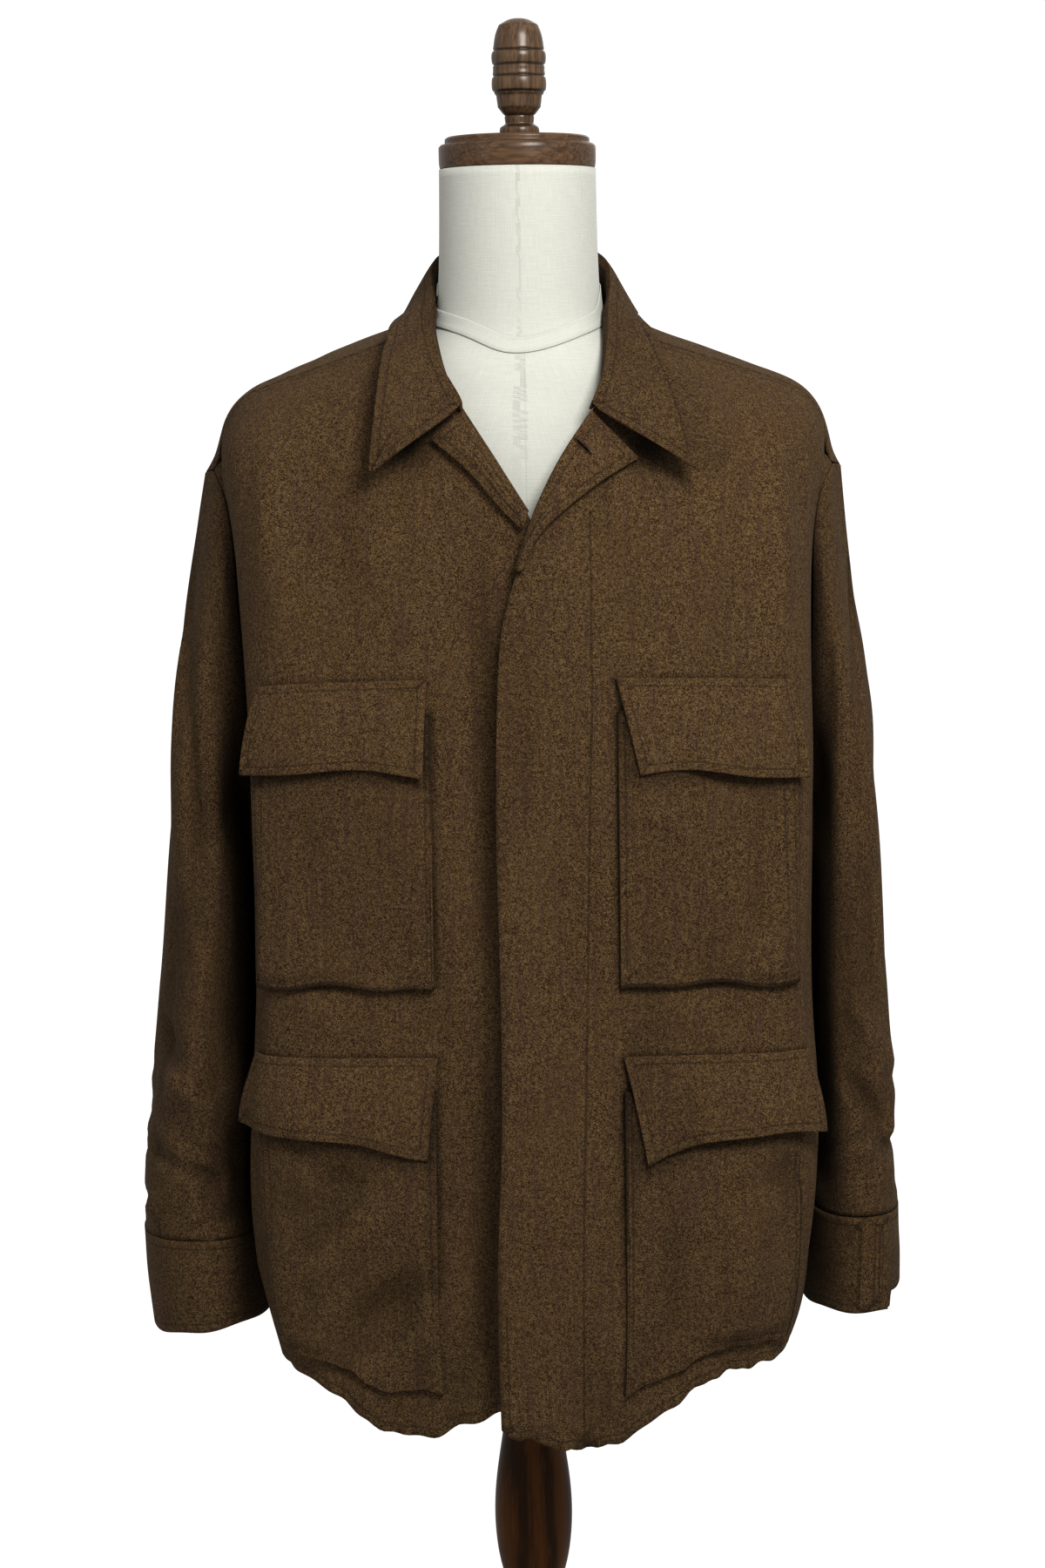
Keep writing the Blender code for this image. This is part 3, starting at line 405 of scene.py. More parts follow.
def wool(looks):
    """A brushed wool twill of mixed fibres, with its stitches, its seams, the wear along its edges, and shade
    painted into its grooves, its fold troughs and between its pieces.
    """
    made = Finish("brushed_wool")
    cloth, across, height, _ = made.place("cloth")
    rest = made.place("rest")[0]
    names = ("seam", "line", "second_line", "run", "crease", "dye")
    seam, line, second_line, run, crease, dye = (made.attribute(name) for name in names)

    wander = made.noise(cloth, 90.0, 3.0) * 2.4
    wale = (across * 0.50 + height * 0.87).wave(looks.twill_pitch, wander)
    weft = (height * 0.26 - across * 0.97).wave(looks.twill_pitch * 0.72, wander)
    fibre = made.noise(rest, (1150.0, 1050.0, 1400.0), 2.0, 0.62)
    other_fibre = made.noise(rest, (1450.0, 1250.0, 1000.0), 2.0, 0.6)
    nap = made.noise(rest, 640.0, 3.0, 0.66)
    tint = made.noise(rest, (860.0, 940.0, 1020.0), 1.0)
    blotch = made.noise(rest, (420.0, 420.0, 230.0), 3.0, 0.62)
    speckle = made.noise(rest, 330.0, 2.0, 0.6)
    cloud = made.noise(cloth, (16.0, 9.0, 1.0), 4.0, 0.55)
    streak = made.noise(cloth, (230.0, 14.0, 1.0), 3.0, 0.6)

    broken = 0.60 + 0.40 * blotch.within(0.40, 0.56)
    groove = (1 - abs(line).within(0.0001, 0.0010)) * broken
    second_groove = (1 - abs(second_line).within(0.0002, 0.0012)) * broken
    sunk = groove.math("MAXIMUM", second_groove)
    dash = (run / STITCH_LENGTH).fraction()
    on_line = 1 - abs(line).math("MINIMUM", abs(second_line)).within(0.00018, 0.0004)
    thread = dash.within(0.06, 0.16) * (1 - dash.within(0.80, 0.92)) * on_line
    rubbed = (1 - seam.within(0.0004, 0.0022)) * (0.35 + 0.65 * nap.within(0.40, 0.60))

    mixed = fibre * 0.40 + other_fibre * 0.32 + nap * 0.28
    base = looks.colour
    light, dark = shade(base, 2.74, 3.16, 3.8), shade(base, 0.32, 0.14, 0.16)
    warm, cool = shade(base, 2.2, 1.75, 0.8), shade(base, 0.92, 0.76, 1.70)
    colour = made.layers(
        made.blend(mixed.within(0.446, 0.556), dark, light),
        (tint.within(0.52, 0.66) * 0.42, warm),
        ((1 - tint.within(0.34, 0.48)) * 0.42, cool),
        (blotch.within(0.46, 0.66) * 0.26, shade(base, 0.40)),
        (speckle.within(0.50, 0.62) * 0.16, light),
        ((1 - speckle.within(0.38, 0.50)) * 0.22, dark),
        ((1 - wale) * 0.16 + (1 - weft) * 0.08, shade(base, 0.40)),
        (streak.within(0.46, 0.66) * 0.34, cool),
        (cloud.within(0.40, 0.68) * 0.16, shade(base, 1.5)),
        (rubbed * looks.wear, shade(base, 2.0)),
        # Painted shade in the stitch grooves and along the fly's line, beside their bump.
        (sunk * 0.66, shade(base, 0.16)),
        (thread * 0.30, shade(looks.thread_colour, 1.0)),
        # Painted shade in the folds' troughs.
        (crease.within(0.1, 1.0) * 0.24, shade(base, 0.30)),
    )
    # Scales the colour by the piece's tone and by the shade painted between pieces.
    colour = made.node("ShaderNodeVectorMath", {"operation": "SCALE"}, {0: colour, "Scale": dye}).outputs[0]

    pucker = (run * (2 * math.pi / 0.0105) + nap * 5.0).sine() * (1 - seam.within(0.0, 0.013))
    pucker = pucker + (run * (2 * math.pi / 0.0230) + cloud * 9.0).sine() * (1 - seam.within(0.002, 0.020))
    relief = wale * 0.16 + weft * 0.10 + mixed * 0.75 + nap * 0.40 + blotch * 0.35 + pucker * 0.16
    relief = relief - sunk * 0.55 + thread * 0.35
    sheen = {"sheen_weight": looks.fuzz, "sheen_roughness": 0.5, "sheen_tint": (0.62, 0.48, 0.34, 1.0)}
    return made.finish(colour, 0.86 + 0.10 * nap, relief, 0.0011, looks.relief, specular=0.06, **sheen)


def linen(looks):
    """A plain calico weave with slubs, and the seam down the form's middle."""
    made = Finish("plain_linen")
    cloth, across, height, _ = made.place("cloth")
    seam, line = made.attribute("seam"), made.attribute("line")
    wander = made.noise(cloth, 60.0, 2.0) * 1.5
    threads = across.wave(looks.linen_pitch, wander) * height.wave(looks.linen_pitch, wander)
    slub = made.noise(cloth, (900.0, 60.0, 1.0)) * 0.5 + made.noise(cloth, (60.0, 900.0, 1.0)) * 0.5
    cloud = made.noise(cloth, 14.0, 3.0)
    groove = 1 - abs(line).within(0.0002, 0.0014)
    base = looks.linen_colour
    colour = made.layers(
        made.blend(slub.within(0.36, 0.66), shade(base, 0.95), shade(base, 1.03)),
        ((1 - threads) * 0.16, shade(base, 0.66)),
        (cloud.within(0.4, 0.7) * 0.14, shade(base, 0.90)),
        (groove * 0.14, shade(base, 0.62)),
        ((1 - seam.within(0.0, 0.0012)) * 0.06, shade(base, 0.70)),
    )
    relief = threads * 0.4 + slub * 0.3 - groove * 0.6
    return made.finish(colour, 0.82 + 0.08 * slub, relief, 0.00035, 0.7, sheen_weight=0.12, specular=0.25)


def walnut(looks):
    """Turned walnut under a satin varnish: long grain, open pores and a little wear on its edges."""
    made = Finish("varnished_walnut")
    place, x, y, _ = made.place("cloth")
    seam, dye, groove = (made.attribute(name) for name in ("seam", "dye", "groove"))
    bend = made.noise(place, (18.0, 18.0, 3.0), 3.0, 0.55)
    rings = ((x * 260.0 + y * 120.0) + bend * 9.0).sine() * 0.5 + 0.5
    grain = made.noise(place, (420.0, 420.0, 16.0), 4.0, 0.6, 0.4)
    pores = made.noise(place, (1500.0, 1500.0, 70.0))
    tone = grain * 0.55 + rings * 0.30 + bend * 0.15
    worn = (1 - seam.within(0.0004, 0.0030)) * (0.4 + 0.6 * grain)
    base, pale = looks.wood_colour, looks.bleached_colour
    colour = made.layers(
        made.blend(tone.within(0.30, 0.66), shade(base, 0.45), shade(base, 1.45)),
        (pores.within(0.60, 0.74) * 0.55, shade(base, 0.22)),
        (worn * 0.16, shade(base, 2.3)),
        (dye, made.blend(grain.within(0.30, 0.70), shade(pale, 0.55), shade(pale, 1.35))),
        # Painted shade in the grooves cut round the finial.
        (groove * 0.85, shade(base, 0.10)),
    )
    relief = grain * 0.25 - pores.within(0.62, 0.76) * 0.35
    made.connect(made.shader.inputs["Coat Weight"], dye * 0.25)
    rough = 0.30 + 0.16 * grain + 0.10 * pores
    return made.finish(colour, rough, relief, 0.0003, 0.6, coat_roughness=0.25, specular=0.08)


def floor_finish(looks):
    made = Finish("pale_floor")
    place = made.node("ShaderNodeTexCoord", {}, {}).outputs["Object"]
    tone = made.noise(place, 3.0, 3.0)
    colour = made.blend(tone * 0.05, shade(looks.floor_colour, 1.0), shade(looks.floor_colour, 0.94))
    return made.finish(colour, 0.80 + 0.05 * tone, tone, 0.0002, 0.2)


# ---- folds ------------------------------------------------------------------------------------------
def eased(t):
    t = np.clip(t, 0.0, 1.0)
    return t * t * (3 - 2 * t)


def below(points, height, reach):
    """0 at a height and 1 from its reach below, eased between them."""
    return eased((height - points[:, 2]) / reach)


def bumped(t, middle, reach):
    """1 in the middle and 0 beyond the reach, round at both."""
    away = np.minimum(np.abs(t - middle) / reach, 1.0)
    return (1 - away * away) ** 2


def fold_depth(across, height, rows):
    """How far the folds of a table stand out at each place."""
    total = np.zeros(len(across))
    for from_across, from_height, to_across, to_height, width, depth, bow in np.array(rows) / 1000:
        run_across, run_height = to_across - from_across, to_height - from_height
        length = math.hypot(run_across, run_height)
        along = ((across - from_across) * run_across + (height - from_height) * run_height) / length**2
        aside = ((across - from_across) * run_height - (height - from_height) * run_across) / length
        inside = np.clip(along, 0.0, 1.0)
        aside = aside - bow * np.sin(math.pi * inside)
        fading = np.sin(math.pi * inside) ** 0.7 * (0.75 + 0.25 * np.cos(5.0 * inside + 40 * depth / width))
        total += depth * np.exp(-((aside / (width * (0.85 + 0.3 * inside))) ** 2)) * fading
    return total


def unrest(points, shift):
    """A slow, uneven movement of hanging cloth, longer up and down than across."""
    total = np.zeros(len(points))
    for across, upward, tall, seed in UNREST:
        chance = np.random.default_rng(seed)
        field = np.zeros(len(points))
        for _ in range(7):
            turn = chance.uniform(0, 2 * math.pi)
            level = [math.cos(turn) / across, math.sin(turn) / across]
            wave = np.array([*level, chance.uniform(-1, 1) / upward])
            field += np.sin(points @ wave * 2 * math.pi + chance.uniform(0, 2 * math.pi) + shift)
        total += field / 7**0.5 * tall
    return total


def body_outward(points):
    """The level direction away from the body."""
    x, y = points[:, 0] / 0.215, points[:, 1] / 0.145
    away = np.stack([np.sign(x) * np.abs(x) ** 3, np.sign(y) * np.abs(y) ** 3, np.zeros(len(x))], axis=1)
    return away / np.maximum(np.linalg.norm(away, axis=1, keepdims=True), 1e-6)


def body_folds(points, depth):
    """The folds of the fronts, the back and the sides, one running into the next."""
    x, y, z = points.T
    frontward = eased((-y - 0.050) / 0.060)
    backward = eased((y - 0.045) / 0.060)
    sideward = eased((np.abs(x) - 0.165) / 0.030) * (1 - eased((np.abs(y) - 0.085) / 0.050))
    stands = fold_depth(x, z, FRONT_FOLDS) * frontward + fold_depth(x, z, BACK_FOLDS) * backward
    stands += fold_depth(y, z + 0.022 * np.sign(x), SIDE_FOLDS) * sideward
    stands += unrest(points, 0.0) * (0.45 + 0.55 * eased((1.25 - z) / 0.4))
    return body_outward(points) * (stands * depth)[:, None]


def hem_drop(points):
    """Uneven small scallops along the hem."""
    x, y, _ = points.T
    round_body = x + np.abs(y) * 0.9 * np.sign(y)
    wave = np.sin(round_body * 150 + 1.5 * np.sin(round_body * 31)) * 0.0017
    wave += np.sin(round_body * 64 + 2.0) * 0.0022
    wave += np.sin(round_body * 310 + 2.0 * np.sin(round_body * 47)) * 0.0009
    return wave * below(points, HEM_ZONE, 0.070)


def round_sleeve(points, side):
    """The direction away from the sleeve's middle, and how far round from its outer side."""
    sign = SIDES[side]
    out = (points[:, 0] - SLEEVE_MIDDLE[side]) * sign
    forward = -points[:, 1] * 0.55
    away = np.stack([out * sign, -forward, np.zeros(len(out))], axis=1)
    away /= np.maximum(np.linalg.norm(away, axis=1, keepdims=True), 1e-6)
    return away, np.arctan2(forward, out) * SLEEVE_RADIUS


def round_cloth(points, side):
    """How far round the sleeve each point is along its cloth, in metres."""
    sign = SIDES[side]
    out = (points[:, 0] - SLEEVE_MIDDLE[side]) * sign / SLEEVE_HALF_WIDTH
    forward = -points[:, 1] / SLEEVE_HALF_DEPTH
    turns = np.linspace(-math.pi, math.pi, 361)
    steps = np.hypot(SLEEVE_HALF_WIDTH * np.sin(turns), SLEEVE_HALF_DEPTH * np.cos(turns))
    steps *= turns[1] - turns[0]
    return np.interp(np.arctan2(forward, out), turns, np.cumsum(steps) - steps.sum() / 2)


def sleeve_folds(points, side, depth):
    away, around = round_sleeve(points, side)
    stands = fold_depth(around, points[:, 2], SLEEVE_FOLDS[side])
    stands = stands * 1.35 + unrest(points, SLEEVE_SWAY[side]) * 1.4
    stands *= 0.25 + 0.75 * np.abs(away[:, 1])
    lower = below(points, 0.93, 0.10) * eased((points[:, 2] - 0.765) / 0.03)
    stands += np.sin(around * 95 + 5 * np.sin(points[:, 2] * 60)) * 0.0009 * lower
    return away * (stands * depth)[:, None]


# ---- pieces -----------------------------------------------------------------------------------------
def solid_tree(*nodes):
    """The faces of some of the part's own solids."""
    points, faces = [], []
    for node in nodes:
        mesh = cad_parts[node].data
        first = len(points)
        points += [vertex.co.copy() for vertex in mesh.vertices]
        faces += [[first + v for v in face.vertices] for face in mesh.polygons]
    return BVHTree.FromPolygons(points, faces)


def distances(tree, points):
    return np.array([tree.find_nearest(Vector(point))[3] for point in points])


def mesh_from(edit, name):
    mesh = bpy.data.meshes.new(name)
    edit.to_mesh(mesh)
    edit.free()
    return mesh


def linked(name, data):
    made = bpy.data.objects.new(name, data)
    bpy.context.scene.collection.objects.link(made)
    return made


def smoothed(node, levels, corner=50.0, hold=1.0):
    """A node's solid as four-sided faces, smoothed but for the corners that are sharper than the angle."""
    edit = bmesh.new()
    edit.from_mesh(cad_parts[node].data)
    bmesh.ops.remove_doubles(edit, verts=edit.verts, dist=2e-6)
    bmesh.ops.join_triangles(
        edit,
        faces=edit.faces,
        angle_face_threshold=math.radians(40),
        angle_shape_threshold=math.radians(180),
        topology_influence=1.0,
    )
    creases = edit.edges.layers.float.new("crease_edge")
    for edge in edit.edges:
        if len(edge.link_faces) == 2 and edge.calc_face_angle(0.0) > math.radians(corner):
            edge[creases] = hold
    mesh = mesh_from(edit, node + "_cage")
    cage = linked(node + "_cage", mesh)
    rounding = cage.modifiers.new("rounding", "SUBSURF")
    rounding.levels = rounding.render_levels = levels
    rounding.use_limit_surface = False
    bpy.context.view_layer.update()
    graph = bpy.context.evaluated_depsgraph_get()
    made = bpy.data.meshes.new_from_object(cage.evaluated_get(graph))
    bpy.data.objects.remove(cage, do_unlink=True)
    bpy.data.meshes.remove(mesh)
    made.name = node + "_looks"
    return made


def points_of(mesh):
    points = np.empty(len(mesh.vertices) * 3)
    mesh.vertices.foreach_get("co", points)
    return points.reshape(-1, 3)


def set_points(mesh, points):
    mesh.vertices.foreach_set("co", points.astype(np.float32).ravel())
    mesh.update()


def carry(mesh, name, values):
    """Stores a number or a vector for each point, which the material reads by its name."""
    kind, slot = ("FLOAT_VECTOR", "vector") if values.ndim == 2 else ("FLOAT", "value")
    mesh.attributes.new(name, kind, "POINT").data.foreach_set(slot, values.astype(np.float32).ravel())


def corner_lines(mesh, corner=50.0):
    """Points along the mesh's sharp corners, and how far along its line each of them is."""
    edit = bmesh.new()
    edit.from_mesh(mesh)
    sharp = {}
    for edge in edit.edges:
        if len(edge.link_faces) == 2 and edge.calc_face_angle(0.0) > math.radians(corner):
            for vertex in edge.verts:
                sharp.setdefault(vertex.index, []).append(edge.other_vert(vertex).index)
    places = {vertex.index: np.array(vertex.co) for vertex in edit.verts if vertex.index in sharp}
    edit.free()
    points, runs, left = [], [], set(sharp)
    while left:
        here = min(left, key=lambda i: (len(sharp[i]) == 2, i))
        far = 0.0
        while here is not None:
            left.discard(here)
            points.append(places[here])
            runs.append(far)
            after = next((i for i in sharp[here] if i in left), None)
            if after is not None:
                step = places[after] - places[here]
                length = float(np.linalg.norm(step))
                parts = int(length / LINE_STEP) + 1
                for share in (part / parts for part in range(1, parts)):
                    points.append(places[here] + step * share)
                    runs.append(far + length * share)
                far += length
            here = after
    return np.array(points), np.array(runs)


def along_corners(mesh, points, allowed=None):
    """Each point's distance to the nearest corner line, how far along it that is, and whether that part of
    the line is one that is stitched."""
    lines, runs = corner_lines(mesh)
    tree = KDTree(len(lines))
    for i, place in enumerate(lines):
        tree.insert(place, i)
    tree.balance()
    found = [tree.find(point) for point in points]
    nearest = np.array([index for _, index, _ in found])
    away = np.array([distance for _, _, distance in found])
    stitched = np.ones(len(lines), bool) if allowed is None else allowed(lines)
    return away, runs[nearest], stitched[nearest]


def flat_place(across, up):
    return np.stack([across, up, np.zeros(len(up))], axis=1)


def cloth_place(points):
    """Across the cloth and up it, in metres."""
    x, y, z = points.T
    return flat_place(x + np.sign(x) * np.where(y < 0, np.maximum(0, y + 0.11), np.maximum(0, 0.11 - y)), z)


def ready(name, mesh, node, finish):
    made = linked(name, mesh)
    mesh.materials.clear()
    mesh.materials.append(finish)
    mesh.shade_smooth()
    mesh.set_sharp_from_angle(angle=math.radians(48))
    if node:
        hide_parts(node)
    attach(made, "root")
    return made


def fly_line(points):
    """How far each place is to the side of the fly's stitch line."""
    stops = np.array(sorted(FLY_LINE, key=lambda stop: stop[1]))
    fly = points[:, 0] - np.interp(points[:, 2], stops[:, 1], stops[:, 0])
    fly[(points[:, 2] > stops[-1, 1]) | (points[:, 1] > -0.1)] = NO_STITCH
    return fly


def wool_piece(
    node,
    shape=None,
    dye=1.0,
    inset=None,
    stitched=None,
    place=cloth_place,
    corner=50.0,
    coarser=0,
):
    """Makes one cloth piece: smooths its solid, lays its folds on, and stores what its material reads."""
    scene = bpy.context.scene
    levels = max(scene.jacket_folds.detail - coarser, 1)
    mesh = smoothed(node, levels, corner)
    rest = points_of(mesh)
    away, run, is_stitched = along_corners(mesh, rest, stitched)
    move = shape(rest, away) if shape else body_move(rest)
    set_points(mesh, rest + move)
    unstitched = np.full(len(rest), NO_STITCH)
    line = unstitched if inset is None else np.where(is_stitched, away - inset, NO_STITCH)
    second = fly_line(rest) if node == "front_left" else unstitched
    depth = np.linalg.norm(move, axis=1) * np.sign(np.sum(move * (rest - rest.mean(axis=0)), axis=1))
    carry(mesh, "seam", away)
    carry(mesh, "line", line)
    carry(mesh, "second_line", second)
    carry(mesh, "run", np.where(np.abs(second) < np.abs(line), rest[:, 2], run))
    # Painted shade: the fold troughs are painted darker with their depth.
    carry(mesh, "crease", np.clip(-depth / 0.005, 0, 1))
    # Each piece's tone share, darker or lighter as a whole, times the shade painted where it lies deep
    # between pieces.
    carry(mesh, "dye", dye * painted_shade_between(node, rest))
    carry(mesh, "cloth", place(rest))
    carry(mesh, "rest", rest)
    made = ready(node + "_cloth", mesh, node, finish_of("brushed_wool", wool, scene.jacket_wool))
    return made


def close_to(nodes, points, start, reach):
    """1 up to the start of the reach from other solids, and 0 beyond its end."""
    return 1 - eased((distances(solid_tree(*nodes), points) - start) / reach)


def collar_gaps(points):
    """How near each point is to the gaps beside the gorge, with each gap's lift."""
    for x, z, reach, lift in COLLAR_GAPS:
        far = np.hypot(points[:, 0] - x, points[:, 2] - z) / reach
        yield np.exp(-(far**2)) * (points[:, 1] < COLLAR_FACE), lift


def painted_shade_between(node, points):
    """Painted shade: how much darker the cloth is painted where it lies deep between two pieces or under
    another, against 1 in the open.
    """
    tone = np.ones(len(points))
    if node in BODY:
        # Painted shade in the groove between the body and the sleeves, below the shoulders.
        tone *= 1 - 0.80 * close_to(SLEEVES, points, 0.001, 0.018) * below(points, 1.350, 0.050)
    if node in ("front_left", "front_right"):
        sewn_on = [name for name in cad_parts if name.startswith(("pocket", "flap", "lapel"))]
        # Painted shadow in a narrow band round the pockets, flaps and lapels, weaker low down.
        edge = close_to(sewn_on, points, 0.0, 0.0035)
        tone *= 1 - edge * (0.55 - 0.40 * below(points, 0.790, 0.050))
        # Painted shade in the gaps under the collar's leaf beside the gorge.
        for near, _ in collar_gaps(points):
            tone *= 1 - 0.80 * near
    if node == "front_right":
        # Painted shadow where the right front lies under the left one, below the chest.
        tone *= 1 - 0.80 * close_to(["front_left"], points, 0.002, 0.026) * below(points, 1.050, 0.250)
    if node.startswith("pocket"):
        # Painted shadow under each pocket's flap.
        tone *= 1 - 0.45 * close_to([node.replace("pocket", "flap")], points, 0.002, 0.014)
    if node in SLEEVES:
        # Painted shade on the sleeves' inner sides next to the body, below the shoulders.
        tone *= 1 - 0.80 * close_to(BODY, points, 0.001, 0.012) * below(points, 1.340, 0.080)
    return tone


def finish_of(name, make, looks):
    return bpy.data.materials.get(name) or make(looks)


def body_move(points):
    """The body's folds, which fade towards the sleeves, and its hem."""
    armhole_fade = 1 - close_to(SLEEVES, points, 0.0, 0.032)
    stands = body_folds(points, bpy.context.scene.jacket_folds.depth) * armhole_fade[:, None]
    return stands + UP * hem_drop(points)[:, None]


# ---- settings ---------------------------------------------------------------------------------------
def colour_setting(name, description, default):
    return FloatVectorProperty(name=name, description=description, subtype="COLOR", default=default)


def share_setting(name, description, default, most=1.0):
    return FloatProperty(
        name=name, description=description, subtype="FACTOR", default=default, min=0, max=most
    )


def length_setting(name, description, default):
    return FloatProperty(name=name, description=description, unit="LENGTH", default=default)


class JacketWool(bpy.types.PropertyGroup):
    """The jacket's cloth."""

    colour: colour_setting("Wool colour", "Middle colour of the mixed fibres", (0.0380, 0.0230, 0.0092))
    thread_colour: colour_setting("Thread colour", "Colour of the topstitching", (0.095, 0.062, 0.033))
    twill_pitch: length_setting("Twill pitch", "From one rib of the twill to the next", 0.0016)
    fuzz: share_setting("Fuzz", "Strength of the brushed surface's sheen", 0.03)
    wear: share_setting("Edge wear", "How much the edges are rubbed pale", 0.14)
    relief: share_setting("Relief", "Strength of the weave's relief", 0.85)


class JacketFolds(bpy.types.PropertyGroup):
    """How the cloth hangs."""

    depth: share_setting("Fold depth", "Share of the depth in the tables of folds", 1.8, 2.0)
    detail: IntProperty(name="Detail", description="Smoothing levels of the cloth", default=3, min=1, max=3)
    flap_wave: length_setting("Flap wave", "How far the flaps' lower edges wave", 0.0030)


class JacketForm(bpy.types.PropertyGroup):
    """The dress form and its stand."""

    linen_colour: colour_setting("Linen colour", "Colour of the form's cover", (0.292, 0.292, 0.263))
    linen_pitch: length_setting("Linen pitch", "From one thread to the next", 0.0011)
    wood_colour: colour_setting("Wood colour", "Middle colour of the walnut", (0.040, 0.0145, 0.0020))
    bleached_colour: colour_setting("Bleached wood", "Colour of the cap and finial", (0.060, 0.037, 0.021))


class JacketStage(bpy.types.PropertyGroup):
    """The floor, the lights and the camera."""

    floor_colour: colour_setting("Floor colour", "Colour of the floor", (0.62, 0.62, 0.617))
    key_power: FloatProperty(
        name="Key light", description="Power of the key light", unit="POWER", default=80.0
    )
    fill_power: FloatProperty(
        name="Fill light", description="Power of the fill light", unit="POWER", default=12.0
    )
    sky: FloatProperty(name="Sky", description="Brightness of the white surroundings", default=1.06)
    print_gamma: FloatProperty(name="Gamma", description="Contrast of the finished picture", default=0.80)
    focal_length: FloatProperty(
        name="Focal length", description="Of the camera, in millimetres", unit="CAMERA", default=95.52
    )


# ---- operators --------------------------------------------------------------------------------------
def near_hem(lines):
    return lines[:, 2] < HEM_ZONE


def hem_or_shoulder(lines):
    return near_hem(lines) | ((lines[:, 2] > SHOULDER_HEIGHT) & (lines[:, 1] > SHOULDER_FACE))


class JACKET_OT_back(bpy.types.Operator):
    """Makes the back panel, with its long soft folds"""

    bl_idname = "jacket.back"
    bl_label = "Back"

    def execute(self, context):
        wool_piece("back", inset=HEM_STITCH, stitched=near_hem)
        return {"FINISHED"}


class JACKET_OT_fronts(bpy.types.Operator):
    """Makes the two fronts, the left one with the stitch line of its hidden fly"""

    bl_idname = "jacket.fronts"
    bl_label = "Fronts"

    def execute(self, context):
        for side in SIDES:
            wool_piece("front_" + side, inset=EDGE_STITCH, stitched=hem_or_shoulder)
        return {"FINISHED"}


class JACKET_OT_sleeves(bpy.types.Operator):
    """Makes the two sleeves, more crumpled above their cuffs"""

    bl_idname = "jacket.sleeves"
    bl_label = "Sleeves"

    def execute(self, context):
        depth = context.scene.jacket_folds.depth
        body = solid_tree(*BODY)
        for side, sign in SIDES.items():

            def shape(points, away):
                gap = distances(body, points)
                ends = eased((points[:, 2] - SLEEVE_END[side]) / 0.022) * below(points, 1.330, 0.160)
                inner = eased(((SLEEVE_MIDDLE[side] - points[:, 0]) * sign - 0.010) / 0.020)
                rear = eased((points[:, 1] + 0.005) / 0.030)
                closer = np.clip(gap - 0.0025, 0, 0.010) * rear - GROOVE_OPENING * (1 - rear)
                closer *= inner * ends
                loose = eased(gap / 0.030) * ends
                return sleeve_folds(points, side, depth) * loose[:, None] - ACROSS * (closer * sign)[:, None]

            def place(points):
                return flat_place(round_cloth(points, side), points[:, 2])

            wool_piece("sleeve_" + side, shape, dye=0.94, place=place)
        return {"FINISHED"}


class JACKET_OT_cuffs(bpy.types.Operator):
    """Makes the two cuffs with their puckered seams"""

    bl_idname = "jacket.cuffs"
    bl_label = "Cuffs"

    def execute(self, context):
        for side in SIDES:

            def shape(points, away):
                outward, around = round_sleeve(points, side)
                low = below(points, 0.775, 0.05)
                stands = (np.sin(around * 70 + 1.0) * 0.0011 + np.sin(around * 31) * 0.0010) * low
                lift = np.sin(around * 105) * 0.0008 * low
                if side == "left":
                    behind = eased((CUFF_LAP_END - around) / 0.004) * eased((around + 0.170) / 0.080)
                    lift += CUFF_STEP * behind * low
                return outward * stands[:, None] + UP * lift[:, None]

            def place(points):
                return flat_place(points[:, 2], round_cloth(points, side))

            wool_piece("cuff_" + side, shape, dye=0.97, inset=EDGE_STITCH, place=place)
        return {"FINISHED"}


class JACKET_OT_collar(bpy.types.Operator):
    """Makes the turned collar with its topstitched leaf"""

    bl_idname = "jacket.collar"
    bl_label = "Collar"

    def execute(self, context):
        def shape(points, away):
            stands = unrest(points, 1.0) * 0.45 * context.scene.jacket_folds.depth
            for near, lift in collar_gaps(points):
                stands += lift * near
            return body_outward(points) * stands[:, None]

        wool_piece("collar", shape, dye=0.88, inset=EDGE_STITCH, corner=60.0)
        return {"FINISHED"}


